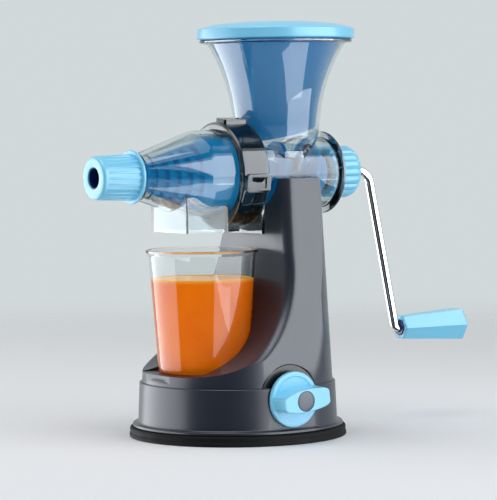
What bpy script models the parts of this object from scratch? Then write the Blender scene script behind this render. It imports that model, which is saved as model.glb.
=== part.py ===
"""A hand-cranked fruit juicer on a suction base, in metres, +Z up.

The origin is the bottom centre of the base. The barrel lies along X: pulp leaves at -X, the crank is at +X,
and the suction knob faces -Y, towards the user. The cup stands in the bay below the spout.
"""

from math import asin, cos, pi, radians, sin, tan

import bmesh
import bpy
from mathutils import Matrix, Vector

# ---- clearances and resolution ----
GAP = 0.0003  # between touching pieces
RUNNING = 0.0004  # between a turning piece and its bearing
OVERRUN = 0.001  # how far a cutter runs past the face it opens
BROAD = 40  # facets round the base
ROUND = 32  # facets round a large piece
FINE = 16  # facets round a small piece
SMALL = 8  # facets round a screw

# ---- the barrel's axis; what it carries and what carries it takes its height from here ----
AXIS_Z = 0.1905

# ---- base ----
BASE_R = 0.073
PAD_R = BASE_R + 0.0065
PAD_RIM_H = 0.0075
FLANGE_R = BASE_R + 0.004
FLANGE_H = 0.0022
BASE_TOP_R = BASE_R - 0.0013
STEP_Z = 0.040
BODY_R = BASE_R - 0.003
PLATFORM_Z = 0.0475
SHOULDER = 0.0072
WALL = 0.0033

# ---- column ----
COLUMN_TOP_Z = AXIS_Z - 0.003
COLUMN_TOP_R = BODY_R - 0.008
COLUMN_LEAN = 0.232  # how far each side leans in, per unit of height
COLUMN_FRONT_X = 0.0137
COLUMN_RAKE = 0.12  # how far the front leans back above the bay, per unit of height
COLUMN_EDGE_R = 0.008
BAY_SPRING_Z = 0.135  # below this the column's front sweeps out
BAY_START_X = -0.068
BAY_POWER = 2.0
CAVITY_TOP_Z = AXIS_Z - 0.0425

# ---- cup ----
CUP_X = -0.0295
CUP_BOTTOM_R = 0.0320
CUP_BODY_R = 0.0390
CUP_BODY_Z = 0.133
CUP_LIP_R = CUP_BODY_R + 0.002
CUP_TOP_Z = CUP_BODY_Z + 0.004
CUP_WALL = 0.0016
CUP_PLAY = 0.0012

# ---- barrel and hopper ----
JOURNAL_R = 0.0078
BARREL_R = 0.026
BARREL_WALL = 0.0025
COVER_R = BARREL_R + 0.0065
BARREL_END_X = COLUMN_TOP_R + 0.0163
REAR_DISC_R = BARREL_R + 0.0045
REAR_DISC_T = 0.0022
JOINT_R = COVER_R + 0.0033
JOINT_T = 0.0032
HUB_R = BARREL_R + 0.004
NECK_R = JOURNAL_R + 0.0054
NECK_END_X = BARREL_END_X + 0.0165
HOPPER_WALL = 0.0018
HOPPER_LIP_R = 0.0563
HOPPER_LIP_Z = AXIS_Z + 0.098
HOPPER_LIP_T = 0.0018
HOPPER_FOOT = 0.0165  # how far above the axis the hopper meets the barrel
HOPPER_THROAT_R = BARREL_R + 0.0055
HOPPER_X = HOPPER_THROAT_R + 0.0058
HOPPER_THROAT_Z = AXIS_Z + 0.0335
HOPPER_MOUTH_R = HOPPER_LIP_R - 0.0038
FOOT_X = 0.007
FOOT_T = 0.0025
FOOT_HALF = 0.024
FOOT_Z = AXIS_Z - 0.043
BOSS_R = 0.0048
BOSS_DROP = 0.0065

# ---- front cover, strainer, collar, nozzle ----
COVER_WALL = 0.0022
COVER_NOSE_X = -0.084
COVER_NOSE_R = 0.0165
CONE_END_X = -0.038
SNOUT_R = 0.0130
SNOUT_X = COVER_NOSE_X - 0.010
SPOUT_X0 = -0.0575
SPOUT_X1 = -0.022
SPOUT_HALF = 0.024
SPOUT_Z = AXIS_Z - 0.0407
STRAINER_T = 0.0012
STRAINER_PLAY = 0.0011
STRAINER_SLOTS = 7
COLLAR_R = JOINT_R + 0.0027
COLLAR_X0 = -0.018
EAR_R = COLLAR_R + 0.0027
EAR_W = 0.013
LUG_ARC = radians(34)
LUG_R = JOINT_R - 0.0022
LUG_T = 0.0014
SEAL_R = COVER_R
SEAL_W = 0.0018
SEAL_DEPTH = 0.0018
NOZZLE_X = -0.120
NOZZLE_R = SNOUT_R + 0.002
NOZZLE_BACK_R = NOZZLE_R + 0.0015
NOZZLE_FLANGE_R = NOZZLE_BACK_R + 0.0028
NOZZLE_FLANGE_T = 0.0022
NOZZLE_BACK_X = COVER_NOSE_X - 0.0035
NOZZLE_HOLE_R = SNOUT_R - 0.0052

# ---- auger and drive ----
AUGER_TIP_X = COVER_NOSE_X - 0.006
AUGER_TIP_R = SNOUT_R - 0.0045
AUGER_CONE_X = COVER_NOSE_X + 0.003
AUGER_CONE_R = COVER_R - 0.009
AUGER_DRUM_R = COVER_R - 0.0045
AUGER_ROOT_R = 0.0100
FLIGHT_R = BARREL_R - 0.0038
FLIGHT_T = 0.0026
FLIGHT_PITCH = 0.028
RIBS = 10
RIB_H = 0.0013
RIB_W = 0.0016
RIB_PITCH = 0.40
BUSH_WALL = 0.0024
SQUARE = 0.0080
STUB_R = 0.0058
NUT_R = NECK_R + 0.0064
NUT_X1 = NECK_END_X + 0.0075
NUT_SCALLOPS = 18

# ---- crank ----
ROD_R = 0.0035
CRANK_TOP_X = NUT_X1 + 0.0179
CRANK_LOW_X = 0.1450
GRIP_Z = 0.0702
TOP_BEND = 0.010
LOW_BEND = 0.005
GRIP_X0 = CRANK_LOW_X + 0.004
GRIP_X1 = GRIP_X0 + 0.056
GRIP_TIP_X = GRIP_X1 + 0.0086
GRIP_R0 = 0.0090
GRIP_R1 = 0.0134
GRIP_TIP_R = 0.003

# ---- pusher and lid ----
PUSHER_PLAY = 0.0010
PUSHER_WALL = 0.0016
PUSHER_END_Z = AXIS_Z + 0.0295
PUSHER_SLANT = radians(-14)
LID_R = HOPPER_LIP_R + 0.0019
LID_Z0 = HOPPER_LIP_Z + 0.001
LID_RIM_Z = LID_Z0 + 0.007
LID_TOP_Z = LID_Z0 + 0.013
LID_WALL = 0.002
LID_ROOF_Z = HOPPER_LIP_Z + 0.004

# ---- suction drive ----
KNOB_Z = 0.0315
KNOB_R = 0.020
KNOB_SEAT_Y = BODY_R + 0.0005
KNOB_DISC_T = 0.0032
LEVER_Y = KNOB_SEAT_Y + 0.0175
LEVER_X0 = 0.0015 - KNOB_R
LEVER_X1 = KNOB_R + 0.002
LEVER_HALF = 0.0090
LEVER_TILT = radians(7)  # at rest the lever's long end points a little up
CAP_R = 0.007
HOOD_R = KNOB_R + 0.0045
HOOD_Y = KNOB_SEAT_Y - 0.004  # set back, so that the knob's edge stands in a dark pocket
HOOD_DEPTH = 0.005
SHAFT_R = 0.005
CAM_R = 0.006
CAM_THROW = 0.0015
CAM_HALF = 0.005
YOKE_T = 0.008
STEM_R = 0.006
STEM_DISC_R = STEM_R + 0.004
PLATE_Z0 = 0.0106
PLATE_T = 0.003
PLATE_R = BODY_R - 0.001
PLATE_SCREW_R = BODY_R - 0.0065
SHAFT_LUG_Y = 0.0075
SHAFT_LUG_T = 0.003
POST_R = 0.005
SCREW_R = 0.0019
SCREW_HEAD_R = 0.0036
SCREW_HEAD_H = 0.0022

ALONG_X = (0, pi / 2, 0)  # local +Z points along +X
TO_USER = (pi / 2, 0, 0)  # local +Z points along -Y
ON_AXIS = (0, 0, AXIS_Z)
ON_GRIP = (0, 0, GRIP_Z)
ON_KNOB = (0, 0, KNOB_Z)
ON_HOPPER = (HOPPER_X, 0, 0)


# ---- scene, collections and materials ----
def clear_scene():
    for obj in list(bpy.data.objects):
        bpy.data.objects.remove(obj, do_unlink=True)


def collection(name):
    made = bpy.data.collections.new(name)
    bpy.context.scene.collection.children.link(made)
    return made


clear_scene()
PARTS = collection("hand_juicer")
CUTTERS = collection("cutters")


def material(name, colour, roughness, metallic=0.0, alpha=1.0):
    made = bpy.data.materials.new(name)
    made.use_nodes = True
    shader = made.node_tree.nodes["Principled BSDF"]
    shader.inputs["Base Color"].default_value = (*colour, 1)
    shader.inputs["Roughness"].default_value = roughness
    shader.inputs["Metallic"].default_value = metallic
    shader.inputs["Alpha"].default_value = alpha
    return made


GREY = material("grey_plastic", (0.13, 0.14, 0.17), 0.35)
BLACK = material("black_plastic", (0.02, 0.02, 0.022), 0.45)
RUBBER = material("rubber", (0.012, 0.012, 0.013), 0.7)
BLUE = material("blue_plastic", (0.24, 0.60, 0.82), 0.3)
DEEP_BLUE = material("deep_blue_plastic", (0.02, 0.28, 0.62), 0.3)
NYLON = material("nylon", (0.8, 0.8, 0.76), 0.5)
CLEAR = material("clear_plastic", (0.75, 0.82, 0.84), 0.08, alpha=0.35)
STEEL = material("steel", (0.72, 0.72, 0.73), 0.15, metallic=1.0)


# ---- making meshes ----
def closed_mesh(obj):
    """The object's evaluated mesh, welded and with its faces pointing out."""
    graph = bpy.context.evaluated_depsgraph_get()
    mesh = bpy.data.meshes.new_from_object(obj.evaluated_get(graph))
    work = bmesh.new()
    work.from_mesh(mesh)
    bmesh.ops.remove_doubles(work, verts=work.verts, dist=1e-6)
    bmesh.ops.recalc_face_normals(work, faces=work.faces)
    work.to_mesh(mesh)
    work.free()
    return mesh


def placed(name, mesh, paint, place=(0, 0, 0), turn=(0, 0, 0)):
    """A part with this mesh, or a hidden cutter if it has no paint."""
    mesh.name = name
    obj = bpy.data.objects.new(name, mesh)
    obj.location = place
    obj.rotation_euler = turn
    if paint is None:
        CUTTERS.objects.link(obj)
        obj.hide_render = True
        obj.display_type = "WIRE"
        return obj
    PARTS.objects.link(obj)
    mesh.materials.clear()
    mesh.materials.append(paint)
    mesh.shade_smooth()
    mesh.set_sharp_from_angle(angle=radians(32))
    return obj


def made_solid(source, name, paint, place, turn):
    """Replaces a source object by a solid part made from its evaluated mesh."""
    bpy.context.scene.collection.objects.link(source)
    bpy.context.view_layer.update()
    mesh = closed_mesh(source)
    bpy.data.objects.remove(source, do_unlink=True)
    return placed(name, mesh, paint, place, turn)


def turned(name, outline, paint=None, place=(0, 0, 0), turn=(0, 0, 0), steps=ROUND, start=0.0):
    """A turned solid. The outline is (radius, height) points: open if it ends on the axis, else a loop."""
    mesh = bpy.data.meshes.new(name)
    points = [(r * cos(start), r * sin(start), h) for r, h in outline]
    count = len(points)
    links = count - 1 if outline[0][0] == 0 else count
    mesh.from_pydata(points, [(i, (i + 1) % count) for i in range(links)], [])
    source = bpy.data.objects.new(name, mesh)
    screw = source.modifiers.new("turn", "SCREW")
    screw.axis = "Z"
    screw.steps = screw.render_steps = steps
    screw.use_merge_vertices = True
    screw.merge_threshold = 1e-6
    return made_solid(source, name, paint, place, turn)


def plate(name, outlines, low, high, paint=None, place=(0, 0, 0), turn=(0, 0, 0)):
    """A flat outline, with any holes, extruded from low to high along its local Z."""
    curve = bpy.data.curves.new(name, "CURVE")
    curve.dimensions = "2D"
    curve.fill_mode = "BOTH"
    curve.extrude = (high - low) / 2
    for outline in outlines:
        spline = curve.splines.new("POLY")
        spline.points.add(len(outline) - 1)
        spline.use_cyclic_u = True
        for point, (x, y) in zip(spline.points, outline):
            point.co = (x, y, 0, 1)
    made = made_solid(bpy.data.objects.new(name, curve), name, paint, place, turn)
    made.data.transform(Matrix.Translation((0, 0, (low + high) / 2)))
    return made


def rod(name, path, radius, paint, sides=4):
    """A round rod along a path of 3D points."""
    curve = bpy.data.curves.new(name, "CURVE")
    curve.dimensions = "3D"
    curve.bevel_depth = radius
    curve.bevel_resolution = sides
    curve.use_fill_caps = True
    spline = curve.splines.new("POLY")
    spline.points.add(len(path) - 1)
    for point, (x, y, z) in zip(spline.points, path):
        point.co = (x, y, z, 1)
    return made_solid(bpy.data.objects.new(name, curve), name, paint, (0, 0, 0), (0, 0, 0))


def loft(name, rings, paint=None, place=(0, 0, 0), turn=(0, 0, 0)):
    """A solid through closed rings that have equal numbers of points, with flat ends."""
    work = bmesh.new()
    rows = [[work.verts.new(point) for point in ring] for ring in rings]
    work.faces.new(rows[0])
    work.faces.new(rows[-1])
    count = len(rows[0])
    for low, high in zip(rows, rows[1:]):
        for i in range(count):
            work.faces.new((low[i], low[(i + 1) % count], high[(i + 1) % count], high[i]))
    bmesh.ops.recalc_face_normals(work, faces=work.faces)
    mesh = bpy.data.meshes.new(name)
    work.to_mesh(mesh)
    work.free()
    return placed(name, mesh, paint, place, turn)


def box(name, low, high, paint=None, turn=(0, 0, 0)):
    """A box between two corners."""
    work = bmesh.new()
    bmesh.ops.create_cube(work, size=1)
    low, high = Vector(low), Vector(high)
    bmesh.ops.scale(work, vec=high - low, verts=work.verts)
    bmesh.ops.translate(work, vec=(low + high) / 2, verts=work.verts)
    mesh = bpy.data.meshes.new(name)
    work.to_mesh(mesh)
    work.free()
    return placed(name, mesh, paint, turn=turn)


def cylinder(name, radius, low, high, paint=None, place=(0, 0, 0), turn=(0, 0, 0), steps=FINE):
    outline = [(0, high), (radius, high), (radius, low), (0, low)]
    return turned(name, outline, paint, place, turn, steps)


def tube(name, outer, inner, low, high, paint=None, place=(0, 0, 0), turn=(0, 0, 0), steps=FINE):
    outline = [(outer, high), (outer, low), (inner, low), (inner, high)]
    return turned(name, outline, paint, place, turn, steps)


def combine(target, other, operation):
    boolean = target.modifiers.new(f"{operation.lower()} {other.name}", "BOOLEAN")
    boolean.operation = operation
    boolean.object = other
    boolean.solver = "EXACT"
    return target


def cut(target, *others):
    for other in others:
        combine(target, other, "DIFFERENCE")
    return target


def join(target, *others):
    for other in others:
        combine(target, other, "UNION")
    return target


# ---- outlines ----
def arc(centre, radius, start, end, steps):
    """Points on an arc, from one angle to another, in radians."""
    angles = (start + (end - start) * i / steps for i in range(steps + 1))
    return [(centre[0] + radius * cos(a), centre[1] + radius * sin(a)) for a in angles]


def rounded_ring(x0, x1, half, radius, z, steps=4):
    """A rectangle from x0 to x1 and -half to half with round corners, at a height."""
    corners = ((x1, half, 0), (x0, half, pi / 2), (x0, -half, pi), (x1, -half, 3 * pi / 2))
    ring = []
    for x, y, start in corners:
        inward = -1 if x == x1 else 1
        centre = (x + inward * radius, y - radius if y > 0 else y + radius)
        ring += [(px, py, z) for px, py in arc(centre, radius, start, start + pi / 2, steps)]
    return ring


def round_corner(before, corner, after, radius, steps=6):
    """Points of the arc that rounds a corner between two straight runs."""
    corner = Vector(corner)
    back = (Vector(before) - corner).normalized()
    on = (Vector(after) - corner).normalized()
    half = back.angle(on) / 2
    centre = corner + (back + on).normalized() * radius / sin(half)
    first = (corner + back * radius / tan(half) - centre).normalized()
    last = (corner + on * radius / tan(half) - centre).normalized()
    return [centre + first.slerp(last, i / steps) * radius for i in range(steps + 1)]


def mix(a, b, t):
    return a + (b - a) * t


# ---- profiles that more than one piece follows ----
def side_half(z):
    """Half the column's width at a height."""
    return BODY_R - COLUMN_LEAN * (z - STEP_Z)


def front_x(z):
    """Where the column's front face lies at a height: leaning back at the top, sweeping out to the platform."""
    if z >= BAY_SPRING_Z:
        return COLUMN_FRONT_X + COLUMN_RAKE * (z - BAY_SPRING_Z)
    drop = (BAY_SPRING_Z - z) / (BAY_SPRING_Z - PLATFORM_Z)
    reach = (1 - min(drop, 1) ** BAY_POWER) ** (1 / BAY_POWER)
    return BAY_START_X + (COLUMN_FRONT_X - BAY_START_X) * reach


def cup_radius(z):
    """The cup's outer radius at a height."""
    return mix(CUP_BOTTOM_R, CUP_BODY_R, (z - PLATFORM_Z) / (CUP_BODY_Z - PLATFORM_Z))


def hopper_radius(z):
    """The hopper's outer radius at a height, flaring like a trumpet above the throat."""
    if z <= HOPPER_THROAT_Z:
        return HOPPER_THROAT_R
    rise = (z - HOPPER_THROAT_Z) / (HOPPER_LIP_Z - HOPPER_THROAT_Z)
    return HOPPER_THROAT_R + (HOPPER_MOUTH_R - HOPPER_THROAT_R) * (0.28 * rise + 0.72 * rise**2.4)


def hopper_outline(inset, top, low_z, low_r, steps=5):
    """A solid that follows the hopper's outside, inset all round, from its top down to its foot."""
    heights = [mix(top, HOPPER_THROAT_Z, i / steps) for i in range(steps + 1)]
    flare = [(hopper_radius(z) - inset, z) for z in heights]
    foot = [(mix(flare[-1][0], low_r, 0.22), mix(HOPPER_THROAT_Z, low_z, 0.55)), (low_r, low_z)]
    return [(0, top), *flare, *foot]


def cover_radius(x):
    """The front cover's outer radius: a cone to the nose, then straight."""
    along = (x - COVER_NOSE_X) / (CONE_END_X - COVER_NOSE_X)
    return mix(COVER_NOSE_R, COVER_R, min(max(along, 0), 1))


def auger_radius(x):
    """The radius of the auger's cone."""
    return mix(AUGER_TIP_R, AUGER_CONE_R, (x - AUGER_CONE_X) / (CONE_END_X - AUGER_CONE_X))


# ---- screws ----
def screw_outline(length):
    """A pan-head screw: head below zero height, shank above it."""
    rim = SCREW_HEAD_H * 0.5
    head = [(SCREW_HEAD_R, 0), (SCREW_HEAD_R, -rim), (SCREW_HEAD_R * 0.7, -SCREW_HEAD_H),
        (0, -SCREW_HEAD_H)]
    return [(0, length), (SCREW_R * 0.6, length), (SCREW_R, length - SCREW_R * 0.6), (SCREW_R, 0), *head]


def add_screw(name, length, place, turn=(0, 0, 0)):
    obj = turned(name, screw_outline(length), STEEL, place, turn, steps=SMALL)
    arm = SCREW_HEAD_R * 0.55
    slot = box(f"{name} slot", (-arm, -0.0004, -SCREW_HEAD_H - OVERRUN), (arm, 0.0004, -SCREW_HEAD_H * 0.6))
    slot.location = place
    slot.rotation_euler = turn
    return cut(obj, slot)


# ---- pedestal ----
def plate_screw_places():
    corners = (radians(45 + 90 * i) for i in range(4))
    return [(PLATE_SCREW_R * cos(a), PLATE_SCREW_R * sin(a)) for a in corners]


def barrel_screw_places():
    return [HOPPER_X - 0.011, HOPPER_X + 0.013]


def base_body():
    bottom = PAD_RIM_H + GAP
    shoulder = arc((BODY_R - SHOULDER, PLATFORM_Z - SHOULDER), SHOULDER, pi / 2, 0, 6)
    wall = [(BODY_R, STEP_Z), (BASE_TOP_R, STEP_Z), (BASE_R, bottom + FLANGE_H)]
    flange = [(FLANGE_R, bottom + FLANGE_H), (FLANGE_R, bottom), (0, bottom)]
    return turned("pedestal", [(0, PLATFORM_Z), *shoulder, *wall, *flange], GREY, steps=BROAD)


def column_body():
    """The column's outside: a lofted block with round front edges, kept within a tapered round plan."""
    sweep = [mix(BAY_SPRING_Z, PLATFORM_Z, cos(pi / 2 * i / 7)) for i in range(8)]
    heights = [STEP_Z + OVERRUN, *sweep, COLUMN_TOP_Z]
    rings = [rounded_ring(front_x(z), 0.1, side_half(z), COLUMN_EDGE_R, z) for z in heights]
    block = loft("column block", rings)
    low = STEP_Z + OVERRUN
    top = COLUMN_TOP_Z + OVERRUN
    plan = [(0, top), (COLUMN_TOP_R, top), (BODY_R, low - OVERRUN), (0, low - OVERRUN)]
    return combine(block, turned("column plan", plan, steps=BROAD), "INTERSECT")


def cup_well():
    """Room for the cup, open towards -X so that it slides out."""
    heights = (PLATFORM_Z, BAY_SPRING_Z)
    rings = []
    for z in heights:
        radius = cup_radius(z) + CUP_PLAY
        rings.append(rounded_ring(-0.12, CUP_X + radius, radius, radius * 0.999, z, steps=10))
    return loft("cup well", rings)


def base_cavity():
    inner = BODY_R - WALL
    ceiling = PLATFORM_Z - WALL
    low = PAD_RIM_H - OVERRUN
    corner = [(inner - SHOULDER, ceiling), (inner - 0.002, ceiling - SHOULDER * 0.8)]
    skirt = [(BASE_TOP_R - WALL, STEP_Z - WALL), (BASE_R - WALL, PAD_RIM_H + FLANGE_H),
        (BASE_R - WALL, low), (0, low)]
    return turned("base cavity", [(0, ceiling), *corner, *skirt], steps=BROAD)


def column_cavity():
    """The hollow inside the column, behind the cup's well."""
    rings = []
    for z in (STEP_Z, CAVITY_TOP_Z):
        front = max(CUP_X + cup_radius(z) + CUP_PLAY, front_x(z)) + WALL
        rings.append(rounded_ring(front, 0.1, side_half(z) - WALL, COLUMN_EDGE_R, z))
    block = loft("column hollow", rings)
    top = COLUMN_TOP_Z
    plan = [(0, top), (COLUMN_TOP_R - WALL, top), (BODY_R - WALL, STEP_Z - OVERRUN), (0, STEP_Z - OVERRUN)]
    return combine(block, turned("column hollow plan", plan, steps=BROAD), "INTERSECT")


def hood_outline(grow):
    """The half round above the step, in X and in height above the knob's axis."""
    chord = STEP_Z + GAP - KNOB_Z
    radius = HOOD_R + grow
    start = asin(chord / radius)
    return [arc((0, 0), radius, start, pi - start, 20)]


def build_pedestal():
    body = join(base_body(), column_body())
    cut(body, cup_well(), base_cavity(), column_cavity())
    for i, (x, y) in enumerate(plate_screw_places()):
        post = cylinder(f"plate post {i}", POST_R, PLATE_Z0 + PLATE_T + GAP, STEP_Z + 0.004,
            place=(x, y, 0))
        join(body, post)
        cut(body, cylinder(f"plate pilot {i}", SCREW_R + GAP, PLATE_Z0, 0.027, place=(x, y, 0),
            steps=SMALL))
    saddle = cylinder("saddle", BARREL_R + GAP, 0, 0.1, place=ON_AXIS, turn=ALONG_X, steps=ROUND)
    notch_half = BARREL_R + GAP
    above = box("saddle mouth", (0, -notch_half, AXIS_Z), (0.1, notch_half, COLUMN_TOP_Z + 0.01))
    cut(body, saddle, above)
    for i, x in enumerate(barrel_screw_places()):
        low = AXIS_Z - BARREL_R - BOSS_DROP - GAP
        seat = [(0, AXIS_Z), (BOSS_R + GAP, AXIS_Z), (BOSS_R + GAP, low), (SCREW_R + GAP, low)]
        seat += [(SCREW_R + GAP, CAVITY_TOP_Z - OVERRUN), (0, CAVITY_TOP_Z - OVERRUN)]
        cut(body, turned(f"boss seat {i}", seat, place=(x, 0, 0), steps=12, start=0.1))
    cut(body, box("knob seat", (-KNOB_R - 0.003, -0.09, KNOB_Z - KNOB_R - OVERRUN), (KNOB_R + 0.003,
        -KNOB_SEAT_Y, KNOB_Z + KNOB_R + OVERRUN)))
    cut(body, plate("hood seat", hood_outline(GAP), HOOD_Y - HOOD_DEPTH - GAP, 0.09, place=ON_KNOB,
        turn=TO_USER))
    cut(body, cylinder("shaft hole", SHAFT_R + RUNNING, 0.05, 0.09, place=ON_KNOB, turn=TO_USER))
    return body


def build_hood():
    return plate("knob_hood", hood_outline(0), HOOD_Y - HOOD_DEPTH, HOOD_Y, BLACK, ON_KNOB, TO_USER)


# ---- suction parts ----
def build_pad():
    seat_low = 0.0050
    lip_low = seat_low + 0.0035
    top = PLATE_Z0 - GAP
    hole = STEM_R + RUNNING
    seat = STEM_DISC_R + GAP
    outside = [(0.016, top), (0.018, PAD_RIM_H), (PAD_R - 0.001, PAD_RIM_H), (PAD_R, PAD_RIM_H - 0.001)]
    under = [(PAD_R, 0.0006), (PAD_R - 0.0006, 0), (0, 0)]
    inside = [(0, seat_low), (seat, seat_low), (seat, lip_low), (hole, lip_low), (hole, top)]
    return turned("suction_pad", [*inside, *outside, *under], RUBBER, steps=BROAD)


def build_base_plate():
    top = PLATE_Z0 + PLATE_T
    body = cylinder("base_plate", PLATE_R, PLATE_Z0, top, GREY, steps=BROAD)
    for side, radius in ((-1, SHAFT_R), (1, SHAFT_R)):
        near, far = sorted((side * SHAFT_LUG_Y, side * (SHAFT_LUG_Y + SHAFT_LUG_T)))
        reach = radius + 0.003
        lug = box(f"lug {side}", (-reach, near, top - OVERRUN), (reach, far, KNOB_Z + reach))
        join(body, lug)
    for i, (x, y) in enumerate(plate_screw_places()):
        cut(body, cylinder(f"plate hole {i}", SCREW_R + GAP, 0, 0.02, place=(x, y, 0), steps=SMALL))
    cut(body, cylinder("stem guide", STEM_R + RUNNING, 0, 0.02))
    cut(body, cylinder("lug bores", SHAFT_R + RUNNING, -0.02, 0.02, place=ON_KNOB, turn=TO_USER))
    return body


def build_stem():
    """The disc held in the pad, the stem, and the yoke that the cam lifts."""
    disc_low = 0.0050 + GAP
    disc_high = disc_low + 0.0029
    slot_half_x = CAM_R + CAM_THROW + 0.0005
    slot_half_z = CAM_R + 0.0009
    rim = 0.0031
    low = KNOB_Z - slot_half_z - rim
    outline = [(0, low + OVERRUN), (STEM_R, low + OVERRUN), (STEM_R, disc_high), (STEM_DISC_R, disc_high)]
    body = turned("pull_stem", [*outline, (STEM_DISC_R, disc_low), (0, disc_low)], STEEL, steps=FINE)
    half_x = slot_half_x + rim
    yoke = box("yoke", (-half_x, -YOKE_T / 2, low), (half_x, YOKE_T / 2, KNOB_Z + slot_half_z + rim))
    slot = box("yoke slot", (-slot_half_x, -0.01, KNOB_Z - slot_half_z),
        (slot_half_x, 0.01, KNOB_Z + slot_half_z))
    return cut(join(body, yoke), slot)


def build_cam_shaft():
    outer = KNOB_SEAT_Y + GAP + KNOB_DISC_T + 0.003
    inner = -SHAFT_LUG_Y - SHAFT_LUG_T - 0.002
    body = cylinder("cam_shaft", SHAFT_R, inner, outer, STEEL, ON_KNOB, TO_USER)
    cam = cylinder("cam", CAM_R, -CAM_HALF, CAM_HALF, place=(CAM_THROW, 0, KNOB_Z), turn=TO_USER)
    bore = cylinder("cam shaft thread", SCREW_R + GAP, outer - 0.014, outer + OVERRUN, place=ON_KNOB,
        turn=TO_USER, steps=SMALL)
    flat = box("shaft flat", (-0.01, -outer - OVERRUN, KNOB_Z + SHAFT_R * 0.7),
        (0.01, -KNOB_SEAT_Y, KNOB_Z + 0.01))
    return cut(join(body, cam), bore, flat)


def lever_ring(y, shrink):
    """The lever's outline at a distance towards the user: broad at the hub, narrower at its ends."""
    half = LEVER_HALF - shrink
    left = LEVER_X0 + shrink
    right = LEVER_X1 - shrink
    outline = [(left, half * 0.45), (left + 0.003, half * 0.75), (-0.004, half), (0.006, half),
        (right - 0.003, half * 0.72)]
    mirrored = [(x, -z) for x, z in outline[::-1]]
    ring = [*outline, (right, half * 0.3), (right, -half * 0.3), *mirrored]
    along, across = cos(LEVER_TILT), sin(LEVER_TILT)
    return [(x * along - z * across, x * across + z * along, y) for x, z in ring]


def build_knob():
    back = KNOB_SEAT_Y + GAP
    face = back + KNOB_DISC_T
    rim = 0.0008
    disc = [(0, face), (KNOB_R - rim, face), (KNOB_R, face - rim), (KNOB_R, back), (0, back)]
    body = turned("suction_knob", disc, BLUE, ON_KNOB, TO_USER)
    rings = [lever_ring(face - OVERRUN, 0), lever_ring(LEVER_Y - 0.001, 0.0005),
        lever_ring(LEVER_Y, 0.0015)]
    join(body, loft("lever", rings, place=ON_KNOB, turn=TO_USER))
    cap_floor = LEVER_Y - 0.0020
    head_floor = cap_floor - SCREW_HEAD_H - 0.001
    socket_top = face + 0.003 + GAP
    cut(body, cylinder("cap recess", CAP_R + GAP, cap_floor, LEVER_Y + OVERRUN, place=ON_KNOB,
        turn=TO_USER))
    cut(body, cylinder("screw recess", SCREW_HEAD_R + GAP, head_floor, LEVER_Y, place=ON_KNOB,
        turn=TO_USER, steps=16))
    cut(body, cylinder("screw way", SCREW_R + GAP, back, LEVER_Y, place=ON_KNOB, turn=TO_USER, steps=SMALL))
    socket = cylinder("knob socket", SHAFT_R + GAP, back - OVERRUN, socket_top, place=ON_KNOB, turn=TO_USER)
    drive_flat = box("socket flat", (-0.01, -0.09, KNOB_Z + SHAFT_R * 0.7 + GAP),
        (0.01, -back - 0.0005, KNOB_Z + 0.01))
    cut(socket, drive_flat)
    cut(body, socket)
    length = head_floor - socket_top + 0.012
    add_screw("knob_screw", length, (0, -head_floor - GAP, KNOB_Z), (-pi / 2, 0, 0))
    dome = [(0, cap_floor + 0.0028), (CAP_R * 0.8, cap_floor + 0.0025), (CAP_R, cap_floor + 0.0017)]
    turned("knob_cap", [*dome, (CAP_R, cap_floor + GAP), (0, cap_floor + GAP)], GREY, ON_KNOB, TO_USER,
        FINE)


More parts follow.
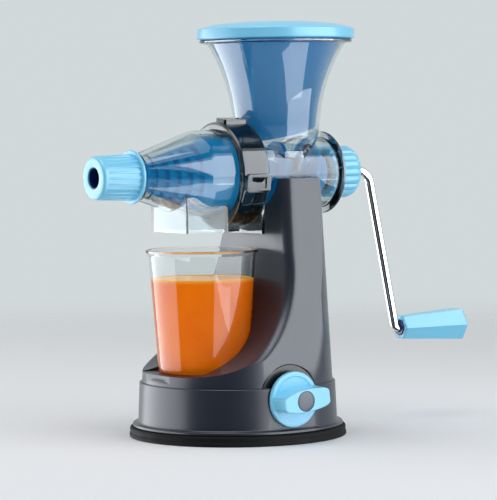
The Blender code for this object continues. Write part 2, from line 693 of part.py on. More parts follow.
# ---- barrel ----
def build_barrel():
    far = BARREL_END_X
    outline = [(0, NECK_END_X), (NECK_R, NECK_END_X), (NECK_R, far), (REAR_DISC_R, far)]
    outline += [(REAR_DISC_R, far - REAR_DISC_T), (BARREL_R, far - REAR_DISC_T - 0.001), (BARREL_R, 0.0125)]
    outline += [(HUB_R, 0.0105), (HUB_R, JOINT_T), (JOINT_R, JOINT_T), (JOINT_R, 0)]
    groove = (SEAL_R + GAP, SEAL_R - SEAL_W - GAP)
    outline += [(groove[0], 0), (groove[0], SEAL_DEPTH), (groove[1], SEAL_DEPTH), (groove[1], 0), (0, 0)]
    body = turned("barrel", outline, CLEAR, ON_AXIS, ALONG_X)
    for i in range(3):
        middle = lug_angle(i) + radians(54)
        cut(body, sector(f"lug way {i}", LUG_R - GAP, 0.040, LUG_ARC + radians(6), middle, -OVERRUN,
            JOINT_T + GAP))
    foot_r = BARREL_R - 0.001
    under_lip = HOPPER_LIP_Z - HOPPER_LIP_T
    lip = [(0, HOPPER_LIP_Z), (HOPPER_LIP_R, HOPPER_LIP_Z), (HOPPER_LIP_R, under_lip)]
    flare = hopper_outline(0, under_lip - 0.001, AXIS_Z + HOPPER_FOOT, foot_r)[1:]
    join(body, turned("hopper outside", [*lip, *flare, (foot_r, AXIS_Z), (0, AXIS_Z)], place=ON_HOPPER))
    join(body, box("foot", (FOOT_X, -FOOT_HALF, FOOT_Z), (FOOT_X + FOOT_T, FOOT_HALF, AXIS_Z - 0.02)))
    boss_low = AXIS_Z - BARREL_R - BOSS_DROP
    for i, x in enumerate(barrel_screw_places()):
        join(body, cylinder(f"boss {i}", BOSS_R, boss_low, AXIS_Z - BARREL_R + 0.001, place=(x, 0, 0),
            steps=16))
    bore_r = BARREL_R - BARREL_WALL
    bore_end = far - REAR_DISC_T - 0.001
    bore = [(0, bore_end), (bore_r, bore_end), (bore_r, -OVERRUN), (0, -OVERRUN)]
    cut(body, turned("bore", bore, place=ON_AXIS, turn=ALONG_X))
    cut(body, cylinder("neck bore", JOURNAL_R + BUSH_WALL + GAP * 2, 0.07, NECK_END_X + OVERRUN,
        place=ON_AXIS, turn=ALONG_X))
    throat = bore_r - 0.003
    low = AXIS_Z + 0.002
    inside = hopper_outline(HOPPER_WALL, HOPPER_LIP_Z + OVERRUN, AXIS_Z + HOPPER_FOOT, throat)
    cut(body, turned("hopper inside", [*inside, (throat, low), (0, low)], place=ON_HOPPER))
    for i, x in enumerate(barrel_screw_places()):
        cut(body, cylinder(f"boss pilot {i}", SCREW_R + GAP, boss_low - OVERRUN,
            AXIS_Z - BARREL_R - 0.0005, place=(x, 0, 0), steps=SMALL))
        add_screw(f"barrel_screw_{i + 1}", boss_low + 0.0045 - CAVITY_TOP_Z, (x, 0, CAVITY_TOP_Z - GAP))
    tube("cover_seal", SEAL_R, SEAL_R - SEAL_W, GAP, SEAL_DEPTH - GAP, RUBBER, ON_AXIS, ALONG_X, ROUND)
    return body


def lug_angle(i):
    return radians(90 + 120 * i)


def sector(name, inner, outer, width, middle, low, high, paint=None):
    """Part of a ring about the barrel's axis; the angle is measured from -Z towards +Y."""
    start, end = middle - width / 2, middle + width / 2
    outline = arc((0, 0), outer, start, end, 6) + arc((0, 0), inner, end, start, 6)
    return plate(name, [outline], low, high, paint, ON_AXIS, ALONG_X)


# ---- front cover and what it holds ----
def build_cover():
    back = -GAP
    snout = [(SNOUT_R, SNOUT_X), (SNOUT_R, COVER_NOSE_X), (COVER_NOSE_R, COVER_NOSE_X),
        (COVER_R, CONE_END_X)]
    flange = [(COVER_R, back - JOINT_T), (JOINT_R, back - JOINT_T), (JOINT_R, back), (0, back)]
    body = turned("front_cover", [(0, SNOUT_X), *snout, *flange][::-1], CLEAR, ON_AXIS, ALONG_X)
    join(body, box("spout outside", (SPOUT_X0, -SPOUT_HALF, SPOUT_Z), (SPOUT_X1, SPOUT_HALF,
        AXIS_Z - 0.015)))
    inner_nose = COVER_NOSE_R - COVER_WALL
    inner = COVER_R - COVER_WALL
    way = [(0, OVERRUN), (inner, OVERRUN), (inner, CONE_END_X + 0.0005),
        (inner_nose, COVER_NOSE_X + COVER_WALL)]
    way += [(SNOUT_R - COVER_WALL, COVER_NOSE_X), (SNOUT_R - COVER_WALL, SNOUT_X - OVERRUN),
        (0, SNOUT_X - OVERRUN)]
    cut(body, turned("cover inside", way, place=ON_AXIS, turn=ALONG_X))
    edge = COVER_WALL
    low = (SPOUT_X0 + edge, -SPOUT_HALF + edge, SPOUT_Z - OVERRUN)
    return cut(body, box("spout inside", low, (SPOUT_X1 - edge, SPOUT_HALF - edge, AXIS_Z - 0.014)))


def build_strainer():
    outside = COVER_WALL + STRAINER_PLAY
    nose = COVER_NOSE_X + COVER_WALL + 0.004
    back = -0.0015
    points = [(cover_radius(x), x) for x in (back, CONE_END_X, nose)]
    outer = [(r - outside, x) for r, x in points]
    inner = [(r - outside - STRAINER_T, x) for r, x in points[::-1]]
    body = turned("strainer", [*outer, *inner], CLEAR, ON_AXIS, ALONG_X)
    pitch = 2 * (SPOUT_HALF - 0.006) / (STRAINER_SLOTS - 1)
    for i in range(STRAINER_SLOTS):
        y = (i - (STRAINER_SLOTS - 1) / 2) * pitch
        cut(body, box(f"slot {i}", (-0.052, y - 0.001, FOOT_Z), (-0.027, y + 0.001, AXIS_Z - 0.005)))
    return body


def build_collar():
    """A bayonet ring: its lip pulls the cover's flange, its lugs hook behind the barrel's."""
    lug_low = JOINT_T + GAP
    lug_high = lug_low + LUG_T
    ring_inner = JOINT_R + GAP
    outline = [(COLLAR_R, lug_high), (COLLAR_R, COLLAR_X0), (COVER_R + GAP, COLLAR_X0)]
    outline += [(COVER_R + GAP, -JOINT_T - 2 * GAP), (ring_inner, -JOINT_T - 2 * GAP),
        (ring_inner, lug_high)]
    body = turned("locking_collar", outline, CLEAR, ON_AXIS, ALONG_X)
    for i in range(3):
        join(body, sector(f"lug {i}", LUG_R, COLLAR_R - 0.001, LUG_ARC, lug_angle(i), lug_low,
            lug_high - 0.0001))
    for i in range(4):
        ear = box(f"ear {i}", (COLLAR_X0 + 0.002, -EAR_W / 2, COLLAR_R - 0.0015), (0.004, EAR_W / 2, EAR_R))
        ear.location = ON_AXIS
        ear.rotation_euler = (radians(90 * i + 8), 0, 0)
        join(body, ear)
    return body


def build_nozzle():
    edge = 0.002
    front = NOZZLE_X
    back = NOZZLE_BACK_X
    lip = arc((NOZZLE_R - edge, front + edge), edge, -pi / 2, 0, 3)
    outer = [*lip, (NOZZLE_BACK_R, back - NOZZLE_FLANGE_T), (NOZZLE_FLANGE_R, back - NOZZLE_FLANGE_T),
        (NOZZLE_FLANGE_R, back)]
    inner_r = SNOUT_R + GAP
    inner = [(inner_r, back), (inner_r, SNOUT_X - GAP), (NOZZLE_HOLE_R + 0.003, SNOUT_X - GAP),
        (NOZZLE_HOLE_R, front + 0.012)]
    return turned("pulp_nozzle", [*outer, *inner, (NOZZLE_HOLE_R, front)], BLUE, ON_AXIS, ALONG_X)


# ---- auger ----
def flight(name, start_x, end_x, root, tip, pitch, thickness, turn0, steps_per_turn=14):
    """A helical rib about the barrel's axis; root and tip are functions of x."""
    turns = (end_x - start_x) / pitch
    steps = max(4, int(abs(turns) * steps_per_turn))
    rings = []
    for i in range(steps + 1):
        x = mix(start_x, end_x, i / steps)
        angle = turn0 + 2 * pi * (x - start_x) / pitch
        half = thickness / 2
        corners = ((x - half, root(x)), (x + half, root(x)), (x + half, tip(x)), (x - half, tip(x)))
        rings.append([(px, r * sin(angle), AXIS_Z + r * cos(angle)) for px, r in corners])
    return loft(name, rings)


def long_rib(name, start_x, end_x, turn0, steps=3):
    """A shallow rib that runs almost along the auger's cone."""
    rings = []
    for i in range(steps + 1):
        x = mix(start_x, end_x, i / steps)
        angle = turn0 - 2 * pi * (x - start_x) / RIB_PITCH
        low = auger_radius(x) - 0.0015
        high = auger_radius(x) + RIB_H
        out = Vector((0, -cos(angle), sin(angle)))
        side = Vector((0, -sin(angle), -cos(angle))) * RIB_W / 2
        centre = Vector((x, 0, AXIS_Z))
        corners = (out * low - side, out * low + side, out * high + side * 0.6, out * high - side * 0.6)
        rings.append([centre + corner for corner in corners])
    return loft(name, rings)


def build_auger():
    journal_end = NECK_END_X - 0.004
    shoulder = BARREL_END_X - REAR_DISC_T - 0.001 - 0.003
    nose = [(0, AUGER_TIP_X), (AUGER_TIP_R - 0.002, AUGER_TIP_X), (AUGER_TIP_R, AUGER_TIP_X + 0.002),
        (AUGER_TIP_R, AUGER_CONE_X)]
    drum = [(AUGER_CONE_R, CONE_END_X), (AUGER_DRUM_R - 0.001, CONE_END_X + 0.006),
        (AUGER_DRUM_R - 0.001, -0.004)]
    root = [(AUGER_ROOT_R, -0.001), (AUGER_ROOT_R, 0.060), (0.0155, 0.068), (0.0155, shoulder)]
    journal = [(JOURNAL_R, shoulder), (JOURNAL_R, journal_end), (0, journal_end)]
    body = turned("auger", [*nose, *drum, *root, *journal][::-1], DEEP_BLUE, ON_AXIS, ALONG_X)
    feed = flight("feed flight", -0.0045, 0.066, lambda x: AUGER_ROOT_R - 0.002, lambda x: FLIGHT_R,
        FLIGHT_PITCH, FLIGHT_T, 0)
    join(body, feed)
    for i in range(RIBS):
        join(body, long_rib(f"rib {i}", AUGER_CONE_X + 0.002, CONE_END_X - 0.001, 2 * pi * i / RIBS))
    half = SQUARE / 2 + GAP
    socket_low = BARREL_END_X - 0.018
    socket = box("square socket", (socket_low, -half, AXIS_Z - half),
        (journal_end + OVERRUN, half, AXIS_Z + half))
    return cut(body, socket)


def build_drive():
    """The bearing, its seal, the nut that holds them, and the stub that the crank turns."""
    shoulder = BARREL_END_X - REAR_DISC_T - 0.001 - 0.003
    tube("rear_seal", 0.0130, JOURNAL_R + RUNNING, shoulder + GAP, shoulder + 0.003 - GAP, RUBBER, ON_AXIS,
        ALONG_X)
    bush_low = shoulder + 0.003
    inner = JOURNAL_R + RUNNING
    outer = JOURNAL_R + BUSH_WALL
    rim = NECK_R - 0.0003
    bush = [(rim, NECK_END_X + 0.0018), (rim, NECK_END_X + GAP), (outer, NECK_END_X + GAP),
        (outer, bush_low)]
    turned("shaft_bush", [*bush, (inner, bush_low), (inner, NECK_END_X + 0.0018)], NYLON, ON_AXIS, ALONG_X,
        FINE)
    half = SQUARE / 2
    square_low = BARREL_END_X - 0.017
    square_high = NECK_END_X - 0.0035
    stub = box("drive_stub", (square_low, -half, AXIS_Z - half),
        (square_high + 0.0002, half, AXIS_Z + half), STEEL)
    join(stub, cylinder("stub hub", STUB_R, square_high - 0.0001, 0.1085, place=ON_AXIS, turn=ALONG_X))
    cut(stub, cylinder("stub bore", ROD_R + GAP, BARREL_END_X + 0.006, 0.12, place=ON_AXIS, turn=ALONG_X,
        steps=20))
    screw_x = 0.1056
    low = AXIS_Z + ROD_R + GAP
    cut(stub, cylinder("set screw hole", 0.0012 + GAP, low - OVERRUN, low + 0.006, place=(screw_x, 0, 0),
        steps=SMALL))
    cylinder("set_screw", 0.0012, low, AXIS_Z + STUB_R - 0.0002, STEEL, (screw_x, 0, 0), steps=SMALL)
    build_nut()


def build_nut():
    count = NUT_SCALLOPS * 4
    depth = 0.0007
    outline = []
    for i in range(count):
        radius = NUT_R - depth * (1 - cos(2 * pi * i * NUT_SCALLOPS / count)) / 2 * 2
        angle = 2 * pi * i / count
        outline.append((radius * cos(angle), radius * sin(angle)))
    low = BARREL_END_X + 0.001
    body = plate("rear_nut", [outline], low, NUT_X1, BLUE, ON_AXIS, ALONG_X)
    cone = [(0, NUT_X1 + 0.0005), (NUT_R - 0.003, NUT_X1 + 0.0005), (NUT_R + 0.0005, NUT_X1 - 0.0035),
        (NUT_R + 0.0005, low - 0.001), (0, low - 0.001)]
    combine(body, turned("nut rounding", cone, place=ON_AXIS, turn=ALONG_X), "INTERSECT")
    cut(body, cylinder("nut thread", NECK_R + GAP, low - OVERRUN, NECK_END_X + 0.0021, place=ON_AXIS,
        turn=ALONG_X))
    return cut(body, cylinder("nut hole", STUB_R + RUNNING, 0.09, 0.11, place=ON_AXIS, turn=ALONG_X))


# ---- crank ----
def build_crank():
    start = (BARREL_END_X + 0.0065, 0, AXIS_Z)
    high = (CRANK_TOP_X, 0, AXIS_Z)
    low = (CRANK_LOW_X, 0, GRIP_Z)
    end = (GRIP_X1 - 0.006, 0, GRIP_Z)
    path = [start, *round_corner(start, high, low, TOP_BEND), *round_corner(high, low, end, LOW_BEND), end]
    return rod("crank_rod", path, ROD_R, STEEL)


def build_grip():
    bore = ROD_R + RUNNING
    bush_r = 0.0058
    chamber = 0.0064
    chamber_low = GRIP_X1 - 0.0095
    outline = [(GRIP_R1, GRIP_X1), (GRIP_R0 + 0.0008, GRIP_X0 + 0.0008), (GRIP_R0, GRIP_X0)]
    body = turned("grip", [(0, GRIP_X1), *outline, (0, GRIP_X0)], BLUE, ON_GRIP, ALONG_X, steps=6,
        start=pi / 2)
    cut(body, cylinder("grip bore", bore, GRIP_X0 - OVERRUN, GRIP_X1, place=ON_GRIP, turn=ALONG_X))
    cut(body, cylinder("bush seat", bush_r + GAP, GRIP_X0 - OVERRUN, GRIP_X0 + 0.008, place=ON_GRIP,
        turn=ALONG_X))
    cut(body, cylinder("retainer chamber", chamber, chamber_low, GRIP_X1 + OVERRUN, place=ON_GRIP,
        turn=ALONG_X))
    tube("grip_bush", bush_r, bore, GRIP_X0 - 0.0008, GRIP_X0 + 0.008 - GAP, DEEP_BLUE, ON_GRIP, ALONG_X)
    tube("grip_retainer", 0.0055, ROD_R + 0.0002, chamber_low + GAP, chamber_low + 0.002, STEEL, ON_GRIP,
        ALONG_X)
    low = GRIP_X1 + GAP
    tip = [(0, GRIP_TIP_X), (GRIP_TIP_R, GRIP_TIP_X), (GRIP_R1, low), (0, low)]
    cap = turned("grip_cap", tip, BLUE, ON_GRIP, ALONG_X, steps=6, start=pi / 2)
    return join(cap, cylinder("cap spigot", chamber - GAP, low - 0.003, low + OVERRUN, place=ON_GRIP,
        turn=ALONG_X))


# ---- pusher, lid and cup ----
def slanted_box(name, height):
    """Everything below a plane that slants across the hopper at this height on its axis."""
    made = box(name, (-0.09, -0.09, -0.09), (0.09, 0.09, 0))
    made.location = (HOPPER_X, 0, height)
    made.rotation_euler = (0, PUSHER_SLANT, 0)
    return made


def build_pusher():
    inset = HOPPER_WALL + PUSHER_PLAY
    seat = HOPPER_LIP_Z + GAP
    top = LID_ROOF_Z - GAP
    rim = LID_R - LID_WALL - GAP
    foot_z = AXIS_Z + FLIGHT_R + 0.0015
    foot_r = HOPPER_THROAT_R - inset - 0.006
    flare = hopper_outline(inset, seat, foot_z, foot_r)[1:]
    outside = [(0, top), (rim, top), (rim, seat), *flare, (0, foot_z)]
    inside = hopper_outline(inset + PUSHER_WALL, seat, foot_z, foot_r - PUSHER_WALL)[1:]
    inside = [(0, top + OVERRUN), (inside[0][0], top + OVERRUN), *inside]
    body = turned("pusher", outside, DEEP_BLUE, ON_HOPPER)
    cut(body, slanted_box("pusher slant", PUSHER_END_Z))
    hollow = turned("pusher inside", [*inside, (0, foot_z)], place=ON_HOPPER)
    cut(hollow, slanted_box("hollow slant", PUSHER_END_Z + PUSHER_WALL))
    return cut(body, hollow)


def build_lid():
    edge = 0.0015
    dome = [(0, LID_TOP_Z), (LID_R * 0.55, LID_TOP_Z - 0.0009), (LID_R * 0.9, LID_TOP_Z - 0.0032),
        (LID_R - edge, LID_RIM_Z)]
    skirt = [(LID_R, LID_RIM_Z - edge), (LID_R, LID_Z0), (LID_R - LID_WALL, LID_Z0),
        (LID_R - LID_WALL, LID_ROOF_Z)]
    return turned("hopper_lid", [*dome, *skirt, (0, LID_ROOF_Z)], BLUE, ON_HOPPER)


def build_cup():
    floor = PLATFORM_Z + GAP
    body = CUP_BODY_Z
    edge = 0.002
    outer = [(CUP_LIP_R, CUP_TOP_Z), (CUP_BODY_R, body), (CUP_BOTTOM_R, floor + edge),
        (CUP_BOTTOM_R - edge, floor), (0, floor)]
    inner_floor = floor + CUP_WALL
    inner = [(0, inner_floor), (CUP_BOTTOM_R - edge - CUP_WALL * 0.5, inner_floor),
        (CUP_BOTTOM_R - CUP_WALL, inner_floor + edge)]
    inner += [(CUP_BODY_R - CUP_WALL, body), (CUP_LIP_R - CUP_WALL, CUP_TOP_Z)]
    return turned("cup", [*inner, *outer], CLEAR, (CUP_X, 0, 0))


def build_all():
    build_pedestal()
    build_hood()
    build_pad()
    build_base_plate()
    for i, (x, y) in enumerate(plate_screw_places()):
        add_screw(f"plate_screw_{i + 1}", 0.011, (x, y, PLATE_Z0 - GAP))
    build_stem()
    build_cam_shaft()
    build_knob()
    build_barrel()
    build_cover()
    build_strainer()
    build_collar()
    build_nozzle()
    build_auger()
    build_drive()
    build_crank()
    build_grip()
    build_pusher()
    build_lid()
    build_cup()


build_all()
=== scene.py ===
"""The looks of a hand-cranked fruit juicer on a suction base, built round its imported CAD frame.

Everything is in metres with +Z up. The barrel lies along X, the crank is at +X and the user stands at -Y.
"""

from __future__ import annotations

import logging
import math
import sys
from dataclasses import dataclass
from enum import Enum
from typing import Optional, Sequence, Union

import bmesh
import bpy
from mathutils import Matrix, Vector


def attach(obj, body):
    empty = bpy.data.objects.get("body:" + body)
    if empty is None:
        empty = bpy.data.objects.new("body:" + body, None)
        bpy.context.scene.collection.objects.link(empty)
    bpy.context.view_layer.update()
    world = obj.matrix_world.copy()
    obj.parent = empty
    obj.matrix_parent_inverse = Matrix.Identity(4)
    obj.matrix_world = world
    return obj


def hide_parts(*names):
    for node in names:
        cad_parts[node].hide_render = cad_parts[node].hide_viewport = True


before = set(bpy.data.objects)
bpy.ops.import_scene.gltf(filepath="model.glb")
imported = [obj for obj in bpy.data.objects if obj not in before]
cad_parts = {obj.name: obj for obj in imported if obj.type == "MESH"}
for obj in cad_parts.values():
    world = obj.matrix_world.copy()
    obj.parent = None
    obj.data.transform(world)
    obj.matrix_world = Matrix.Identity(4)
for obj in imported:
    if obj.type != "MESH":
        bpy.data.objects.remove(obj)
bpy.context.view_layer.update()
LOG = logging.getLogger("juicer")

Colour = tuple[float, float, float]
Outline = Sequence[tuple[float, ...]]
Points = list[tuple[float, float]]
Number = Union[float, "Wire"]

# Places that sub-assemblies share: the barrel, hopper, cup, grip and knob, and the juice's top.
AXIS_Z = 0.1905
HOPPER_X = 0.0373
CUP_X = -0.0295
GRIP_Z = 0.0702
KNOB_Z = 0.0315
JUICE_Z = 0.1165
AXIS = (0, 0, AXIS_Z)
# The gap between two pieces that fit, and how far a cutter runs past the face that it opens.
GAP = 0.0003
OVERRUN = 0.001
# Facets round a turned piece, by its size.
WIDE_STEPS = 128
ROUND_STEPS = 96
FINE_STEPS = 48
SMALL_STEPS = 32
LAMP_COLOUR = (0.94, 0.97, 1.0)


def srgb(red: int, green: int, blue: int) -> Colour:
    """Turns a colour from 0 to 255 into the linear values that shaders take.

    Args:
        red: red, from 0 to 255.
        green: green, the same.
        blue: blue, the same.

    Returns:
        The linear colour.
    """

    def linear(value: int) -> float:
        """One channel."""
        share = value / 255
        return share / 12.92 if share <= 0.04045 else ((share + 0.055) / 1.055) ** 2.4

    return (linear(red), linear(green), linear(blue))


def scaled(colour: Colour, by: float) -> Colour:
    """A colour made darker or lighter."""
    return (colour[0] * by, colour[1] * by, colour[2] * by)


def blend_of(low: float, high: float, share: float) -> float:
    """The value a share of the way from low to high."""
    return low + (high - low) * share


# ---- node graphs ----
@dataclass(frozen=True)
class Wire:
    """One output socket of a graph, which can be used in arithmetic."""

    graph: "Graph"
    socket: bpy.types.NodeSocket

    def _with(self, operation: str, first: Number, second: Number) -> "Wire":
        """Adds a Math node on two values."""
        return self.graph.add("ShaderNodeMath", {"operation": operation}, {0: first, 1: second})

    def __add__(self, other: Number) -> "Wire":
        """This value plus another."""
        return self._with("ADD", self, other)

    def __radd__(self, other: Number) -> "Wire":
        """Another value plus this."""
        return self._with("ADD", other, self)

    def __sub__(self, other: Number) -> "Wire":
        """This value minus another."""
        return self._with("SUBTRACT", self, other)

    def __rsub__(self, other: Number) -> "Wire":
        """Another value minus this."""
        return self._with("SUBTRACT", other, self)

    def __mul__(self, other: Number) -> "Wire":
        """This value times another."""
        return self._with("MULTIPLY", self, other)

    def __rmul__(self, other: Number) -> "Wire":
        """Another value times this."""
        return self._with("MULTIPLY", other, self)

    def at_least(self, other: Number) -> "Wire":
        """The larger of this and another."""
        return self._with("MAXIMUM", self, other)

    def within(self, low: float, high: float) -> "Wire":
        """How far this has gone from low to high, from 0 to 1, easing in and out.

        Args:
            low: the value that gives 0.
            high: the value that gives 1.

        Returns:
            The eased share.
        """
        return self.graph.add(
            "ShaderNodeMapRange",
            {"interpolation_type": "SMOOTHSTEP"},
            {"Value": self, "From Min": low, "From Max": high},
        )


class Graph:
    """A node tree being built, for a shader, the world or geometry."""

    def __init__(self, tree: bpy.types.NodeTree) -> None:
        """Starts from an empty tree.

        Args:
            tree: the tree to fill; its nodes are removed.
        """
        self.tree = tree
        tree.nodes.clear()

    def add(
        self,
        kind: str,
        settings: Optional[dict] = None,
        sockets: Optional[dict] = None,
        output: Union[int, str] = 0,
    ) -> Wire:
        """Adds a node.

        Args:
            kind: the node's type.
            settings: attributes to set first, such as a Math node's operation.
            sockets: values or wires by socket name or index.
            output: the output socket to return.

        Returns:
            The chosen output of the new node.
        """
        node = self.tree.nodes.new(kind)
        for name, value in (settings or {}).items():
            setattr(node, name, value)
        for key, value in (sockets or {}).items():
            if isinstance(value, Wire):
                self.tree.links.new(value.socket, node.inputs[key])
            elif value is not None:
                node.inputs[key].default_value = value
        chosen = node.outputs[output] if len(node.outputs) else node.inputs[0]
        return Wire(self, chosen)

    def place(self) -> Wire:
        """Object coordinates."""
        return self.add("ShaderNodeTexCoord", output="Object")

    def noise(self, scale: float, detail: float = 3.0, stretch: Optional[Colour] = None) -> Wire:
        """Noise from 0 to 1 on object coordinates, stretched along an axis where that is given.

        Args:
            scale: how fine it is, in cycles to the metre.
            detail: how many finer layers it has.
            stretch: a scale for each axis; a small one draws the noise out along it.

        Returns:
            The noise.
        """
        where = self.place()
        if stretch is not None:
            where = self.add("ShaderNodeMapping", sockets={"Vector": where, "Scale": stretch})
        return self.add("ShaderNodeTexNoise", sockets={"Vector": where, "Scale": scale, "Detail": detail})

    def mixed(self, share: Number, first: Union[Colour, Wire], second: Union[Colour, Wire]) -> Wire:
        """Mixes two colours.

        Args:
            share: how much of the second colour there is, from 0 to 1.
            first: the colour at 0.
            second: the colour at 1.

        Returns:
            The mixed colour.
        """
        ends = [c if isinstance(c, Wire) else (*c, 1.0) for c in (first, second)]
        settings = {"data_type": "RGBA", "clamp_factor": True}
        return self.add("ShaderNodeMix", settings, {0: share, 6: ends[0], 7: ends[1]}, output=2)

    def bump(self, height: Wire, distance: float, strength: float = 1.0) -> Wire:
        """A Bump node on a height."""
        sockets = {"Height": height, "Distance": distance, "Strength": strength}
        return self.add("ShaderNodeBump", sockets=sockets)


class Finish:
    """What every finish can do: make its material once and hand it out."""

    name: str

    def shade(self, graph: Graph) -> Wire:
        """Builds the surface shader and returns its output."""
        raise NotImplementedError

    def material(self) -> bpy.types.Material:
        """The finish's material, made the first time it is asked for.

        Returns:
            The material.
        """
        made = bpy.data.materials.get(self.name)
        if made is None:
            made = bpy.data.materials.new(self.name)
            made.use_nodes = True
            graph = Graph(made.node_tree)
            surface = self.shade(graph)
            graph.add("ShaderNodeOutputMaterial", sockets={"Surface": surface})
        return made


@dataclass(frozen=True)
class MouldedPlastic(Finish):
    """Opaque injection-moulded plastic: fine spark grain, faint flow marks and handling shine."""

    name: str
    colour: Colour
    roughness: float
    grain: float = 1800.0
    relief: float = 0.00003
    coat: float = 0.0
    coat_roughness: float = 0.12

    def shade(self, graph: Graph) -> Wire:
        """Builds the plastic.

        Args:
            graph: the material's graph, to add the nodes to.

        Returns:
            The surface shader's output.
        """
        flow = graph.noise(14.0, 4.0, (1.0, 1.0, 0.35))
        speck = graph.noise(self.grain, 2.0)
        handling = graph.noise(45.0, 5.0)
        fleck = tuple(min(1, c * 1.25 + 0.01) for c in self.colour)
        tint = graph.mixed(flow.within(0.3, 0.7) * 0.5, self.colour, scaled(self.colour, 0.90))
        tint = graph.mixed(speck.within(0.62, 0.80) * 0.12, tint, fleck)
        sockets = {
            "Base Color": tint,
            "Roughness": (handling - 0.5) * 0.10 + (speck - 0.5) * 0.03 + self.roughness,
            "IOR": 1.52,
            "Coat Weight": self.coat,
            "Coat Roughness": self.coat_roughness,
            "Normal": graph.bump(speck + flow * 0.3, self.relief, 0.6),
        }
        return graph.add("ShaderNodeBsdfPrincipled", sockets=sockets)


@dataclass(frozen=True)
class ClearPlastic(Finish):
    """Smoky see-through plastic with faint flow lines and a few rubbed patches."""

    name: str
    tint: Colour
    roughness: float = 0.02
    ior: float = 1.62
    lamp_share: Colour = (0.80, 0.84, 0.86)

    def shade(self, graph: Graph) -> Wire:
        """Builds the clear plastic; lamps shine through it, so that what is inside stays lit.

        Args:
            graph: the material's graph, to add the nodes to.

        Returns:
            The surface shader's output.
        """
        flow = graph.noise(9.0, 3.0, (0.6, 2.4, 1.0))
        rubbed = graph.noise(120.0, 5.0)
        tint = graph.mixed(flow.within(0.35, 0.75), self.tint, scaled(self.tint, 0.93))
        sockets = {
            "Base Color": tint,
            "Roughness": rubbed.within(0.55, 0.85) * 0.05 + self.roughness,
            "IOR": self.ior,
            "Transmission Weight": 1.0,
            "Normal": graph.bump(flow, 0.0004, 0.25),
        }
        glass = graph.add("ShaderNodeBsdfPrincipled", sockets=sockets)
        through = graph.add("ShaderNodeBsdfTransparent", sockets={"Color": (*self.lamp_share, 1.0)})
        lamp_ray = graph.add("ShaderNodeLightPath", output="Is Shadow Ray")
        return graph.add("ShaderNodeMixShader", sockets={0: lamp_ray, 1: glass, 2: through})


@dataclass(frozen=True)
class Rubber(Finish):
    """Dull black rubber with a dusting in its grain."""

    name: str
    colour: Colour
    roughness: float = 0.62

    def shade(self, graph: Graph) -> Wire:
        """Builds the rubber.

        Args:
            graph: the material's graph, to add the nodes to.

        Returns:
            The surface shader's output.
        """
        grain = graph.noise(900.0, 4.0)
        dust = graph.noise(60.0, 6.0)
        dusty = tuple(c * 0.6 + 0.006 for c in self.colour)
        sockets = {
            "Base Color": graph.mixed(dust.within(0.52, 0.8) * 0.45, self.colour, dusty),
            "Roughness": dust.within(0.3, 0.8) * 0.15 + self.roughness,
            "Specular IOR Level": 0.12,
            "Normal": graph.bump(grain, 0.00005, 0.7),
        }
        return graph.add("ShaderNodeBsdfPrincipled", sockets=sockets)


@dataclass(frozen=True)
class BrightSteel(Finish):
    """Plated steel, polished, with hair-fine drawing lines along the rod."""

    name: str
    colour: Colour
    roughness: float = 0.10
    lines: Colour = (0.08, 1.0, 0.08)

    def shade(self, graph: Graph) -> Wire:
        """Builds the steel.

        Args:
            graph: the material's graph, to add the nodes to.

        Returns:
            The surface shader's output.
        """
        drawn = graph.noise(1400.0, 3.0, self.lines)
        haze = graph.noise(70.0, 4.0)
        sockets = {
            "Base Color": graph.mixed(haze.within(0.4, 0.8) * 0.5, self.colour, scaled(self.colour, 0.88)),
            "Metallic": 1.0,
            "Roughness": haze.within(0.4, 0.8) * 0.06 + (drawn - 0.5) * 0.05 + self.roughness,
            "Normal": graph.bump(drawn, 0.000008, 0.5),
        }
        return graph.add("ShaderNodeBsdfPrincipled", sockets=sockets)


@dataclass(frozen=True)
class FruitJuice(Finish):
    """Cloudy orange juice: pulp flecks all through and paler foam at the top."""

    name: str
    colour: Colour
    foam: Colour
    top_z: float
    glow: float = 0.17

    def shade(self, graph: Graph) -> Wire:
        """Builds the juice; its faint glow stands for the light that it scatters within.

        Args:
            graph: the material's graph, to add the nodes to.

        Returns:
            The surface shader's output.
        """
        cloud = graph.noise(55.0, 5.0)
        pulp = graph.noise(420.0, 3.0, (1.0, 1.0, 2.2))
        height = graph.add("ShaderNodeSeparateXYZ", sockets={0: graph.place()}, output="Z")
        froth = height.within(self.top_z - 0.0035, self.top_z - 0.0005)
        deep = (self.colour[0] * 0.9, self.colour[1] * 0.72, self.colour[2])
        tint = graph.mixed(cloud.within(0.35, 0.7) * 0.5, self.colour, deep)
        tint = graph.mixed(pulp.within(0.6, 0.78) * 0.2, tint, self.foam)
        tint = graph.mixed(froth * 0.6, tint, self.foam)
        sockets = {
            "Base Color": tint,
            "Roughness": pulp.within(0.4, 0.8) * 0.12 + 0.16,
            "IOR": 1.35,
            "Specular IOR Level": 0.25,
            "Subsurface Weight": 0.35,
            "Subsurface Radius": (0.012, 0.004, 0.001),
            "Subsurface Scale": 0.6,
            "Emission Color": tint,
            "Emission Strength": self.glow,
            "Normal": graph.bump(pulp, 0.00008, 0.4),
        }
        return graph.add("ShaderNodeBsdfPrincipled", sockets=sockets)


